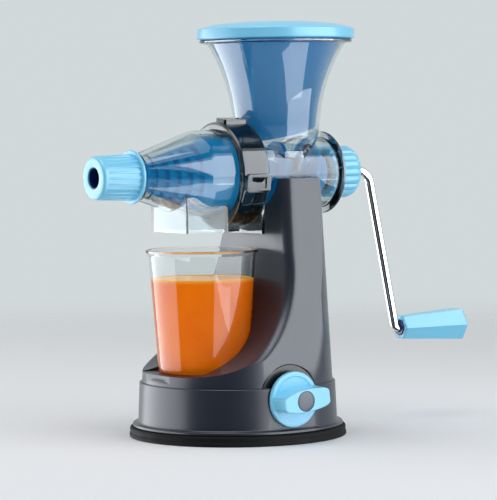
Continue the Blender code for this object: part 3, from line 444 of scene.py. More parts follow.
class Finishes(Enum):
    """Every finish on the juicer."""

    SLATE = MouldedPlastic("slate_satin_plastic", srgb(36, 41, 55), 0.32)
    # Near black on the knob's hood is painted shade: it stands for the shadow on the hood's side and in the
    # gap round the knob.
    HOOD_BLACK = MouldedPlastic("black_trim_plastic", srgb(13, 14, 18), 0.28)
    CAP_GREY = MouldedPlastic("grey_button_plastic", srgb(76, 83, 97), 0.42)
    SKY = MouldedPlastic("sky_blue_plastic", srgb(128, 213, 248), 0.30, relief=0.000006, coat=0.1)
    DEEP_BLUE = MouldedPlastic("deep_blue_plastic", srgb(0, 122, 238), 0.10, coat=0.6, coat_roughness=0.05)
    TEAL = MouldedPlastic("teal_blue_plastic", srgb(0, 166, 226), 0.12, coat=0.3, coat_roughness=0.05)
    # Navy is the grip's bush, and also the sleeve that paints the shade inside the nozzle's bore.
    NAVY = MouldedPlastic("navy_bush_plastic", srgb(8, 34, 104), 0.35)
    NYLON = MouldedPlastic("white_nylon", srgb(226, 224, 214), 0.45)
    SMOKE = ClearPlastic("smoky_clear_plastic", (0.78, 0.87, 0.90))
    # The collar's near-black tint is painted shade: it stands for the darkness that its thick ring shows by
    # refraction.
    DARK_SMOKE = ClearPlastic("dark_smoky_clear_plastic", (0.11, 0.15, 0.16))
    CUP_CLEAR = ClearPlastic("cup_clear_plastic", (0.93, 0.95, 0.95), ior=1.41, lamp_share=(0.92, 0.94, 0.94))
    RUBBER = Rubber("black_rubber", srgb(9, 10, 11))
    STEEL = BrightSteel("bright_steel", (0.78, 0.77, 0.76))
    JUICE = FruitJuice("orange_juice", srgb(255, 133, 0), srgb(255, 196, 80), JUICE_Z)

    def dress(self, piece: bpy.types.Object) -> bpy.types.Object:
        """Gives a piece this finish in place of whatever it had.

        Args:
            piece: the piece or CAD node to dress.

        Returns:
            The piece.
        """
        piece.data.materials.clear()
        piece.data.materials.append(self.value.material())
        return piece


# ---- shapes ----
class Lie(Enum):
    """How a turned or extruded shape lies: which way its own height points."""

    UP = Matrix.Identity(4)
    ALONG_BARREL = Matrix.Rotation(math.pi / 2, 4, "Y")
    TO_USER = Matrix.Rotation(math.pi / 2, 4, "X")


def arc(centre: tuple[float, float], radius: float, start: float, end: float, steps: int) -> Points:
    """Points on an arc, from one angle to another."""
    angles = [blend_of(start, end, i / steps) for i in range(steps + 1)]
    return [(centre[0] + radius * math.cos(a), centre[1] + radius * math.sin(a)) for a in angles]


def softened(outline: Outline, steps: int = 4, default: float = 0.0) -> Points:
    """Rounds an outline's corners.

    Args:
        outline: points with an optional third number, the corner's radius.
        steps: facets in each round.
        default: the radius of corners that give none.

    Returns:
        The rounded outline.
    """
    made: Points = []
    last = len(outline) - 1
    for i, point in enumerate(outline):
        corner = Vector(point[:2])
        radius = point[2] if len(point) > 2 else default
        if radius <= 0 or i in (0, last):
            made.append(tuple(corner))
            continue
        back = Vector(outline[i - 1][:2]) - corner
        on = Vector(outline[i + 1][:2]) - corner
        turn = back.angle(on, math.pi)
        if turn > math.pi - 0.02:
            made.append(tuple(corner))
            continue
        reach = min(radius / math.tan(turn / 2), back.length * 0.49, on.length * 0.49)
        radius = reach * math.tan(turn / 2)
        centre = corner + (back.normalized() + on.normalized()).normalized() * radius / math.sin(turn / 2)
        first = (corner + back.normalized() * reach - centre).normalized()
        final = (corner + on.normalized() * reach - centre).normalized()
        angle = first.angle_signed(final)
        for k in range(steps + 1):
            spoke = first.copy()
            spoke.rotate(Matrix.Rotation(-angle * k / steps, 2))
            made.append(tuple(centre + spoke * radius))
    return made


def plug(radius: float, start: float, end: float) -> Points:
    """The outline of a plain round from one height to another."""
    return [(0, start), (radius, start), (radius, end), (0, end)]


def linked(name: str, data: bpy.types.ID) -> bpy.types.Object:
    """A new object in the scene for a mesh, a curve, a lamp or a camera.

    Args:
        name: the object's name.
        data: what it shows.

    Returns:
        The object.
    """
    obj = bpy.data.objects.new(name, data)
    bpy.context.scene.collection.objects.link(obj)
    return obj


def turned_outwards(mesh: bpy.types.Mesh, reach: float) -> bpy.types.Mesh:
    """Merges a closed mesh's points that lie within reach, then points its faces outwards.

    Args:
        mesh: the mesh, which is changed.
        reach: how close two points are when they are one.

    Returns:
        The same mesh.
    """
    edit = bmesh.new()
    edit.from_mesh(mesh)
    bmesh.ops.remove_doubles(edit, verts=edit.verts, dist=reach)
    bmesh.ops.recalc_face_normals(edit, faces=edit.faces)
    edit.to_mesh(mesh)
    edit.free()
    return mesh


def piece_from(
    name: str, points: Sequence, faces: Sequence, lie: Lie = Lie.UP, at: Sequence[float] = (0, 0, 0)
) -> bpy.types.Object:
    """Makes an object whose place is in its mesh, with its faces pointing outwards.

    Args:
        name: the object's name.
        points: its points before they are turned and placed.
        faces: its faces.
        lie: which way its height points.
        at: where its own origin goes.

    Returns:
        The new object, linked to the scene.
    """
    mesh = bpy.data.meshes.new(name)
    mesh.from_pydata([tuple(p) for p in points], [], faces)
    mesh.transform(Matrix.Translation(at) @ lie.value)
    return linked(name, turned_outwards(mesh, 1e-7))


def turned(
    name: str,
    outline: Outline,
    lie: Lie = Lie.UP,
    at: Sequence[float] = (0, 0, 0),
    steps: int = ROUND_STEPS,
    start: float = 0.0,
) -> bpy.types.Object:
    """Turns an outline of radii and heights into a solid.

    Args:
        name: the object's name.
        outline: points from the axis back to the axis, or a closed loop off the axis.
        lie: which way its height points.
        at: where its axis and zero height are.
        steps: facets round it.
        start: the angle of the first facet.

    Returns:
        The solid.
    """
    on_axis = [abs(r) < 1e-7 for r, _ in outline]
    points: list[tuple[float, float, float]] = []
    rings: list[list[int]] = []
    for (radius, height), pole in zip(outline, on_axis):
        first = len(points)
        if pole:
            points.append((0, 0, height))
            rings.append([first] * steps)
            continue
        for i in range(steps):
            angle = start + 2 * math.pi * i / steps
            points.append((radius * math.cos(angle), radius * math.sin(angle), height))
        rings.append(list(range(first, first + steps)))
    pairs = list(zip(rings, rings[1:]))
    if not (on_axis[0] and on_axis[-1]):
        pairs.append((rings[-1], rings[0]))
    faces = []
    for low, high in pairs:
        for i in range(steps):
            corners = [low[i], low[(i + 1) % steps], high[(i + 1) % steps], high[i]]
            unique = list(dict.fromkeys(corners))
            if len(unique) > 2:
                faces.append(unique)
    return piece_from(name, points, faces, lie, at)


def lofted(
    name: str, rings: Sequence, lie: Lie = Lie.UP, at: Sequence[float] = (0, 0, 0)
) -> bpy.types.Object:
    """Joins rings of equal length, one above another, and closes both ends.

    Args:
        name: the object's name.
        rings: the rings, each a list of points.
        lie: which way its height points.
        at: where its own origin goes.

    Returns:
        The solid.
    """
    count = len(rings[0])
    points = [p for ring in rings for p in ring]
    faces = []
    for level in range(len(rings) - 1):
        for i in range(count):
            a, b = level * count + i, level * count + (i + 1) % count
            faces.append([a, b, b + count, a + count])
    faces += [list(range(count)), [len(points) - 1 - i for i in range(count)]]
    return piece_from(name, points, faces, lie, at)


def extruded(
    name: str,
    outline: Outline,
    low: float,
    high: float,
    lie: Lie = Lie.UP,
    at: Sequence[float] = (0, 0, 0),
) -> bpy.types.Object:
    """Pulls a flat outline from one height to another."""
    return lofted(name, [[(x, y, z) for x, y in outline] for z in (low, high)], lie, at)


def block(name: str, low: Sequence[float], high: Sequence[float], round_by: float = 0.0) -> bpy.types.Object:
    """A block between two corners, with its upright edges rounded where that is asked for."""
    ring = rounded_ring(low[0], high[0], low[1], high[1], max(round_by, 1e-5), 5 if round_by else 1)
    return lofted(name, [[(x, y, z) for x, y in ring] for z in (low[2], high[2])])


def rounded_ring(x0: float, x1: float, y0: float, y1: float, radius: float, steps: int) -> Points:
    """A rectangle with round corners, as flat points.

    Args:
        x0: the low end in X.
        x1: the high end in X.
        y0: the low end in Y.
        y1: the high end in Y.
        radius: the corners' radius.
        steps: facets in each corner.

    Returns:
        The points, once round.
    """
    quarter = math.pi / 2
    corners = ((x1, y1, -1, -1, 0), (x0, y1, 1, -1, 1), (x0, y0, 1, 1, 2), (x1, y0, -1, 1, 3))
    ring = []
    for x, y, in_x, in_y, turn in corners:
        centre = (x + in_x * radius, y + in_y * radius)
        ring += arc(centre, radius, quarter * turn, quarter * (turn + 1), steps)
    return ring


def settle(obj: bpy.types.Object) -> bpy.types.Object:
    """Makes an object's modifiers part of its mesh.

    Args:
        obj: the object, whose modifiers are used up.

    Returns:
        The same object.
    """
    graph = bpy.context.evaluated_depsgraph_get()
    graph.update()
    evaluated = obj.evaluated_get(graph)
    made = bpy.data.meshes.new_from_object(evaluated, preserve_all_data_layers=True, depsgraph=graph)
    old = obj.data
    obj.modifiers.clear()
    obj.data = made
    made.name = obj.name
    bpy.data.meshes.remove(old)
    return obj


def combined(target: bpy.types.Object, operation: str, *tools: bpy.types.Object) -> bpy.types.Object:
    """Joins, cuts or intersects a solid with others, which are used up.

    Args:
        target: the solid to change.
        operation: UNION, DIFFERENCE or INTERSECT.
        tools: the other solids, in order.

    Returns:
        The changed solid.
    """
    for tool in tools:
        step = target.modifiers.new("shape", "BOOLEAN")
        step.operation = operation
        step.solver = "EXACT"
        step.object = tool
        settle(target)
        bpy.data.objects.remove(tool)
    return target


def merged(target: bpy.types.Object, *others: bpy.types.Object) -> bpy.types.Object:
    """Puts other meshes into a piece as they are.

    Args:
        target: the piece.
        others: the meshes to add, which are used up.

    Returns:
        The piece.
    """
    edit = bmesh.new()
    for obj in (target, *others):
        edit.from_mesh(obj.data)
    edit.to_mesh(target.data)
    edit.free()
    for obj in others:
        bpy.data.objects.remove(obj)
    return target


def flattened(obj: bpy.types.Object, angle: float = 0.4) -> bpy.types.Object:
    """Makes one face of those that lie flat to one another, so that they shade as one.

    Args:
        obj: the solid.
        angle: the most degrees between faces that count as flat.

    Returns:
        The same solid.
    """
    edit = bmesh.new()
    edit.from_mesh(obj.data)
    bmesh.ops.dissolve_limit(edit, angle_limit=math.radians(angle), verts=edit.verts, edges=edit.edges)
    edit.to_mesh(obj.data)
    edit.free()
    return obj


def eased(obj: bpy.types.Object, width: float, angle: float = 35.0, segments: int = 2) -> bpy.types.Object:
    """Rounds a solid's hard edges by a small radius, as a mould does.

    Args:
        obj: the solid.
        width: the rounding's width.
        angle: the degrees past which an edge is hard.
        segments: facets across the rounding.

    Returns:
        The same solid.
    """
    bevel = obj.modifiers.new("edge radius", "BEVEL")
    bevel.width = width
    bevel.segments = segments
    bevel.limit_method = "ANGLE"
    bevel.angle_limit = math.radians(angle)
    bevel.use_clamp_overlap = True
    bevel.miter_outer = "MITER_ARC"
    weighted = obj.modifiers.new("face weights", "WEIGHTED_NORMAL")
    weighted.keep_sharp = True
    smooth(obj, 50.0)
    return settle(obj)


def smooth(obj: bpy.types.Object, angle: float = 32.0) -> bpy.types.Object:
    """Shades a mesh smooth, except across edges sharper than an angle in degrees.

    Args:
        obj: the object.
        angle: the degrees past which an edge stays sharp.

    Returns:
        The same object.
    """
    obj.data.polygons.foreach_set("use_smooth", [True] * len(obj.data.polygons))
    obj.data.set_sharp_from_angle(angle=math.radians(angle))
    return obj


def report(piece: bpy.types.Object, body: str, slot: str, finish: Finishes, *nodes: str) -> bpy.types.Object:
    """Dresses a piece, hangs it on its body, hides the CAD nodes that it stands for, and logs it.

    Args:
        piece: the finished mesh.
        body: the CAD body that it moves with.
        slot: not used.
        finish: its finish.
        nodes: the CAD nodes that it stands for.

    Returns:
        The piece.
    """
    finish.dress(piece)
    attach(piece, body)
    if nodes:
        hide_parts(*nodes)
    LOG.info("%s on %s: %d faces", piece.name, body, len(piece.data.polygons))
    return piece


def dress_nodes(finish: Finishes, *nodes: str) -> None:
    """Gives CAD nodes that keep their shape a finish."""
    for node in nodes:
        finish.dress(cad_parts[node])


# ---- repeats and sweeps, by Geometry Nodes ----
class ShapeTree:
    """A geometry tree with named inputs, whose last nodes make its result real and dress it."""

    def __init__(self, name: str, inputs: dict[str, str]) -> None:
        """Starts the tree.

        Args:
            name: the tree's name.
            inputs: each input's name and its type, with a Finish among them.
        """
        self.tree = bpy.data.node_groups.new(name, "GeometryNodeTree")
        for label, kind in inputs.items():
            self.tree.interface.new_socket(label, in_out="INPUT", socket_type=f"NodeSocket{kind}")
        self.tree.interface.new_socket("Geometry", in_out="OUTPUT", socket_type="NodeSocketGeometry")
        self.graph = Graph(self.tree)
        self.sizes = {label: self.graph.add("NodeGroupInput", output=label) for label in inputs}

    def run(self, shape: Wire, name: str, values: dict[str, object]) -> bpy.types.Object:
        """Ends the tree and runs it.

        Args:
            shape: the geometry that the tree makes.
            name: the new object's name.
            values: a value for each input, by its name.

        Returns:
            The result as a plain mesh, with no modifier left on it.
        """
        real = self.graph.add("GeometryNodeRealizeInstances", sockets={"Geometry": shape})
        sockets = {"Geometry": real, "Material": self.sizes["Finish"]}
        dressed = self.graph.add("GeometryNodeSetMaterial", sockets=sockets)
        self.graph.add("NodeGroupOutput", sockets={"Geometry": dressed})
        obj = linked(name, bpy.data.meshes.new(name))
        step = obj.modifiers.new("shape", "NODES")
        step.node_group = self.tree
        for item in self.tree.interface.items_tree:
            if item.in_out == "INPUT":
                value = values[item.name]
                step[item.identifier] = [float(v) for v in value] if isinstance(value, tuple) else value
        return settle(obj)


@dataclass(frozen=True)
class Repeat:
    """Copies of one small shape, each turned and moved on from the one before."""

    pattern: bpy.types.Object
    finish: Finishes
    count: int
    turn: tuple[float, float, float] = (0, 0, 0)
    shift: tuple[float, float, float] = (0, 0, 0)
    centre: tuple[float, float, float] = (0, 0, 0)

    def build(self, name: str) -> bpy.types.Object:
        """Makes the copies and uses up the pattern.

        Args:
            name: the new object's name.

        Returns:
            The copies as one mesh.
        """
        inputs = {"Pattern": "Object", "Count": "Int", "Turn": "Vector", "Shift": "Vector"}
        made = ShapeTree("Repeated shape", inputs | {"Centre": "Vector", "Finish": "Material"})
        graph, sizes = made.graph, made.sizes
        row = {"Count": sizes["Count"], "Offset": sizes["Shift"]}
        line = graph.add("GeometryNodeMeshLine", {"mode": "OFFSET"}, row)
        order = graph.add("GeometryNodeInputIndex")
        turns = graph.add("ShaderNodeVectorMath", {"operation": "SCALE"}, {0: sizes["Turn"], "Scale": order})
        own_place = {"transform_space": "ORIGINAL"}
        shape = graph.add("GeometryNodeObjectInfo", own_place, {"Object": sizes["Pattern"]}, "Geometry")
        each = {"Points": line, "Instance": shape, "Rotation": turns}
        copies = graph.add("GeometryNodeInstanceOnPoints", sockets=each)
        where = {"Geometry": copies, "Translation": sizes["Centre"]}
        placed = graph.add("GeometryNodeTransform", sockets=where)
        values = {
            "Pattern": self.pattern,
            "Count": self.count,
            "Turn": self.turn,
            "Shift": self.shift,
            "Centre": self.centre,
            "Finish": self.finish.value.material(),
        }
        obj = made.run(placed, name, values)
        bpy.data.objects.remove(self.pattern)
        return obj


@dataclass(frozen=True)
class HelicalRib:
    """A screw's flight, swept along a spiral."""

    radius: float
    height: float
    turns: float
    depth: float
    thickness: float
    finish: Finishes
    steps_per_turn: int = 40

    def build(self, name: str, centre: Sequence[float]) -> bpy.types.Object:
        """Sweeps the flight and lays it along the barrel.

        Args:
            name: the new object's name.
            centre: where the spiral starts.

        Returns:
            The flight as one mesh.
        """
        inputs = {"Radius": "Float", "Height": "Float", "Turns": "Float", "Steps": "Int", "Depth": "Float"}
        made = ShapeTree("Helical rib", inputs | {"Thickness": "Float", "Finish": "Material"})
        graph, sizes = made.graph, made.sizes
        course = {
            "Resolution": sizes["Steps"],
            "Rotations": sizes["Turns"],
            "Start Radius": sizes["Radius"],
            "End Radius": sizes["Radius"],
            "Height": sizes["Height"],
        }
        spiral = graph.add("GeometryNodeCurveSpiral", sockets=course)
        upright = graph.add("GeometryNodeSetCurveNormal", {"mode": "Z_UP"}, {"Curve": spiral})
        section = {"Width": sizes["Depth"], "Height": sizes["Thickness"]}
        profile = graph.add("GeometryNodeCurvePrimitiveQuadrilateral", sockets=section)
        along = {"Curve": upright, "Profile Curve": profile, "Fill Caps": True}
        swept = graph.add("GeometryNodeCurveToMesh", sockets=along)
        values = {
            "Radius": self.radius,
            "Height": self.height,
            "Turns": self.turns,
            "Steps": self.steps_per_turn,
            "Depth": self.depth,
            "Thickness": self.thickness,
            "Finish": self.finish.value.material(),
        }
        obj = made.run(swept, name, values)
        obj.data.transform(Matrix.Translation(centre) @ Lie.ALONG_BARREL.value)
        return obj


# ---- the juicer's sub-assemblies ----
@dataclass
class Pedestal:
    """The grey moulding: a round stepped base and a leaning column with a bay for the cup."""

    base_r: float = 0.073
    top_r: float = 0.0717
    flange_r: float = 0.077
    body_r: float = 0.070
    bottom_z: float = 0.0078
    flange_z: float = 0.0100
    step_z: float = 0.040
    platform_z: float = 0.0475
    shoulder: float = 0.0072
    wall: float = 0.0033
    column_top_z: float = 0.1875
    column_top_r: float = 0.062
    lean: float = 0.232
    front: float = 0.0137
    edge_r: float = 0.008
    spring_z: float = 0.135
    bay_start: float = -0.068
    bay_power: float = 2.0
    rake: float = 0.12
    well_low_r: float = 0.0332
    well_high_r: float = 0.0404
    well_end_x: float = -0.12
    hollow_z: float = 0.0065
    barrel_r: float = 0.026
    knob_seat_y: float = 0.0705
    knob_r: float = 0.020
    knob_play: float = 0.003
    shaft_way_r: float = 0.0054
    hood_r: float = 0.0245
    hood_y: float = 0.0665
    hood_depth: float = 0.005
    outside_y: float = 0.09

    def side_half(self, z: float) -> float:
        """Half the column's width at a height."""
        return self.body_r - self.lean * (z - self.step_z)

    def front_x(self, z: float) -> float:
        """Where the column's front lies at a height.

        Args:
            z: the height.

        Returns:
            The front's X, which follows the bay's curve below its spring.
        """
        if z >= self.spring_z:
            return self.front + self.rake * (z - self.spring_z)
        drop = (self.spring_z - z) / (self.spring_z - self.platform_z)
        reach = (1 - min(drop, 1) ** self.bay_power) ** (1 / self.bay_power)
        return blend_of(self.bay_start, self.front, reach)

    def base(self) -> bpy.types.Object:
        """The round base, with its step and foot flange.

        Returns:
            The solid base.
        """
        inner = self.body_r - self.shoulder
        outline = [
            (0, self.platform_z),
            *arc((inner, self.platform_z - self.shoulder), self.shoulder, math.pi / 2, 0, 10),
            (self.body_r, self.step_z),
            (self.top_r, self.step_z, 0.0009),
            (self.base_r, self.flange_z, 0.0015),
            (self.flange_r, self.flange_z, 0.0008),
            (self.flange_r, self.bottom_z, 0.0006),
            (0, self.bottom_z),
        ]
        return turned("pedestal_moulding", softened(outline), steps=WIDE_STEPS)

    def column(self) -> bpy.types.Object:
        """The column: a lofted block kept within a finely stepped, tapered round plan.

        Returns:
            The solid column.
        """
        shares = [math.cos(math.pi / 2 * i / 20) for i in range(21)]
        sweep = [blend_of(self.spring_z, self.platform_z, share) for share in shares]
        low = self.step_z + OVERRUN
        rings = []
        for z in (low, *sweep, self.column_top_z):
            half = self.side_half(z)
            ring = rounded_ring(self.front_x(z), 0.1, -half, half, self.edge_r, 8)
            rings.append([(x, y, z) for x, y in ring])
        top = self.column_top_z + OVERRUN
        foot = low - OVERRUN
        outline = [(0, top), (self.column_top_r, top), (self.body_r - 0.0002, foot), (0, foot)]
        plan = turned("column plan", outline, steps=480, start=0.0013)
        return combined(lofted("column", rings), "INTERSECT", plan)

    def cup_well(self) -> bpy.types.Object:
        """The space that the cup stands in and slides out of.

        Returns:
            The cutter for it.
        """
        rings = []
        for z, radius in ((self.platform_z, self.well_low_r), (self.spring_z, self.well_high_r)):
            ring = rounded_ring(self.well_end_x, CUP_X + radius, -radius, radius, radius * 0.999, 24)
            rings.append([(x, y, z) for x, y in ring])
        return lofted("cup well", rings)

    def hood_outline(self, grow: float) -> Points:
        """The half round above the step.

        Args:
            grow: how much larger than the hood it is.

        Returns:
            The outline about the knob's axis.
        """
        radius = self.hood_r + grow
        start = math.asin((self.step_z + GAP - KNOB_Z) / radius)
        return arc((0, 0), radius, start, math.pi - start, 40)

    def hollow(self) -> bpy.types.Object:
        """The space under the base.

        Returns:
            The cutter for it.
        """
        ceiling = self.platform_z - self.wall
        inner = self.base_r - self.wall
        outline = [
            (0, ceiling),
            (inner - 0.012, ceiling),
            (inner - 0.003, ceiling - 0.007),
            (inner, self.hollow_z),
            (0, self.hollow_z),
        ]
        return turned("base hollow", outline, steps=64, start=0.02)

    def build(self) -> None:
        """Builds the moulding and the hood behind the knob, painted near black for the shade on its side and
        in the gap round the knob.
        """
        body = combined(self.base(), "UNION", self.column())
        combined(body, "DIFFERENCE", self.cup_well())
        combined(body, "DIFFERENCE", self.hollow())
        notch = self.barrel_r + GAP
        saddle = turned("saddle", plug(notch, 0, 0.1), Lie.ALONG_BARREL, AXIS)
        mouth = block("saddle mouth", (0, -notch, AXIS_Z), (0.1, notch, self.column_top_z + 0.01))
        combined(body, "DIFFERENCE", saddle, mouth)
        at = (0, 0, KNOB_Z)
        side = self.knob_r + self.knob_play
        low, high = KNOB_Z - self.knob_r - OVERRUN, KNOB_Z + self.knob_r + OVERRUN
        seat = block("knob seat", (-side, -self.outside_y, low), (side, -self.knob_seat_y, high))
        back = self.hood_y - self.hood_depth
        recess = self.hood_outline(GAP)
        hood_seat = extruded("hood seat", recess, back - GAP, self.outside_y, Lie.TO_USER, at)
        shaft_way = plug(self.shaft_way_r, 0.05, self.outside_y)
        shaft_way = turned("shaft way", shaft_way, Lie.TO_USER, at, SMALL_STEPS)
        combined(body, "DIFFERENCE", seat, hood_seat, shaft_way)
        eased(flattened(body), 0.0009)
        report(body, "stand", "grey_plastic", Finishes.SLATE, "pedestal")
        # The hood's near-black finish is painted shade, not the colour of its plastic.
        hood = extruded("knob_hood_trim", self.hood_outline(0), back, self.hood_y, Lie.TO_USER, at)
        report(eased(hood, 0.0006), "stand", "black_plastic", Finishes.HOOD_BLACK, "knob_hood")


@dataclass
class SuctionBase:
    """The rubber pad with the plate, screws, stem and cam shaft that flex it."""

    pad_r: float = 0.0795
    rim_z: float = 0.0075
    top_z: float = 0.0103
    pocket_r: float = 0.0103
    pocket_floor_z: float = 0.0050
    pocket_roof_z: float = 0.0101
    stem_way_r: float = 0.0064
    screw_r: float = 0.0019
    screw_length: float = 0.011
    head_r: float = 0.0036
    head_h: float = 0.0022
    slot_w: float = 0.0008
    circle_r: float = 0.0635
    plate_z: float = 0.0106
    screws: int = 4

    def pad(self) -> bpy.types.Object:
        """The pad, with a rolled rim and a pocket that leaves the stem room to lift.

        Returns:
            The pad.
        """
        outline = [
            (0, self.pocket_floor_z),
            (self.pocket_r, self.pocket_floor_z),
            (self.pocket_r, self.pocket_roof_z),
            (self.stem_way_r, self.pocket_roof_z),
            (self.stem_way_r, self.top_z),
            (0.016, self.top_z),
            (0.018, self.rim_z),
            (self.pad_r, self.rim_z, 0.0020),
            (self.pad_r - 0.0007, 0.0034, 0.0006),
            (self.pad_r, 0.0024, 0.0006),
            (self.pad_r, 0, 0.0008),
            (0, 0),
        ]
        return smooth(turned("suction_pad_rubber", softened(outline), steps=WIDE_STEPS))

    def plate_screws(self) -> bpy.types.Object:
        """The pan-head screws in a ring, each with a slot.

        Returns:
            All of them as one mesh.
        """
        outline = [
            (0, -self.head_h),
            (self.head_r, -self.head_h, 0.0009),
            (self.head_r, 0),
            (self.screw_r, 0),
            (self.screw_r, self.screw_length - 0.001),
            (self.screw_r * 0.6, self.screw_length),
            (0, self.screw_length),
        ]
        x, y = self.circle_r * math.cos(math.pi / 4), self.circle_r * math.sin(math.pi / 4)
        z = self.plate_z - GAP
        screw = turned("screw", softened(outline), at=(x, y, z), steps=16)
        arm, half = self.head_r * 0.55, self.slot_w / 2
        slot = block("slot", (x - arm, y - half, z - 0.004), (x + arm, y + half, z - 0.0014))
        combined(screw, "DIFFERENCE", slot)
        ring = Repeat(screw, Finishes.STEEL, self.screws, turn=(0, 0, 2 * math.pi / self.screws))
        return smooth(ring.build("base_plate_screws"))

    def build(self) -> None:
        """Builds the pad and the screws, and dresses the hidden mechanism."""
        report(self.pad(), "stand", "rubber", Finishes.RUBBER, "suction_pad")
        names = [f"plate_screw_{i + 1}" for i in range(self.screws)]
        report(self.plate_screws(), "stand", "steel", Finishes.STEEL, *names)
        dress_nodes(Finishes.SLATE, "base_plate")
        dress_nodes(Finishes.STEEL, "pull_stem", "cam_shaft", "knob_screw")
        dress_nodes(Finishes.STEEL, "barrel_screw_1", "barrel_screw_2")


@dataclass
class SuctionKnob:
    """The blue disc with its raised lever and grey button."""

    radius: float = 0.020
    back_y: float = 0.0708
    disc: float = 0.0032
    front_y: float = 0.0880
    left: float = -0.0185
    right: float = 0.0220
    half: float = 0.0090
    tilt: float = math.radians(7)
    cap_r: float = 0.007
    shaft_r: float = 0.0053
    screw_r: float = 0.0022
    screw_head_r: float = 0.0039

    def lever_outline(self, grow: float) -> Points:
        """The lever's outline about the knob's axis: full at the hub, narrower at its ends.

        Args:
            grow: how much larger than the lever's own outline it is.

        Returns:
            The outline, turned by the lever's tilt.
        """
        half, left, right = self.half + grow, self.left - grow, self.right + grow
        upper = [
            (left, half * 0.55, 0.0022),
            (left + 0.006, half * 0.80, 0.006),
            (-0.004, half, 0.010),
            (0.006, half, 0.010),
            (right - 0.004, half * 0.84, 0.006),
            (right, half * 0.60, 0.0022),
        ]
        lower = [(x, -z, r) for x, z, r in reversed(upper)]
        outline = softened([(left, 0), *upper, (right, 0), *lower, (left, 0)], 6)[:-1]
        along, across = math.cos(self.tilt), math.sin(self.tilt)
        return [(x * along - z * across, x * across + z * along) for x, z in outline]

    def lever(self) -> bpy.types.Object:
        """The lever, flaring into the disc at its foot and crowned at its face.

        Returns:
            The solid lever.
        """
        face = self.back_y + self.disc
        levels = (
            (face - OVERRUN, 0.0),
            (face + 0.0012, -0.0002),
            (face + 0.004, -0.0006),
            (self.front_y - 0.0012, -0.0008),
            (self.front_y - 0.0004, -0.0011),
            (self.front_y, -0.0019),
        )
        rings = [[(x, z, y) for x, z in self.lever_outline(grow)] for y, grow in levels]
        return lofted("lever", rings, Lie.TO_USER, (0, 0, KNOB_Z))

    def build(self) -> None:
        """Builds the knob and its button."""
        face = self.back_y + self.disc
        at = (0, 0, KNOB_Z)
        outline = [
            (0, face - 0.0005),
            (self.radius - 0.0042, face - 0.0005),
            (self.radius - 0.0030, face, 0.0006),
            (self.radius, face, 0.0011),
            (self.radius, self.back_y, 0.0005),
            (0, self.back_y),
        ]
        body = turned("suction_knob_moulding", softened(outline), Lie.TO_USER, at)
        combined(body, "UNION", self.lever())
        floor, outside = self.front_y - 0.0020, self.front_y + OVERRUN
        recess = plug(self.cap_r + GAP, floor, outside)
        combined(body, "DIFFERENCE", turned("recess", recess, Lie.TO_USER, at, FINE_STEPS))
        screw_way = plug(self.screw_head_r, floor - 0.0035, floor + OVERRUN)
        shaft_way = [*plug(self.shaft_r, 0.0700, 0.0776)[:3], *plug(self.screw_r, 0.0776, 0.084)[1:]]
        for i, way in enumerate((screw_way, shaft_way)):
            combined(body, "DIFFERENCE", turned(f"way {i}", way, Lie.TO_USER, at, SMALL_STEPS, 0.05))
        eased(body, 0.0005, 38)
        report(body, "knob", "blue_plastic", Finishes.SKY, "suction_knob")
        button = [
            (0, floor + 0.0024),
            (self.cap_r * 0.75, floor + 0.0023),
            (self.cap_r, floor + 0.0018, 0.0005),
            (self.cap_r, floor + GAP),
            (0, floor + GAP),
        ]
        cap = turned("knob_button", softened(button), Lie.TO_USER, at, 64)
        report(smooth(cap, 50), "knob", "grey_plastic", Finishes.CAP_GREY, "knob_cap")


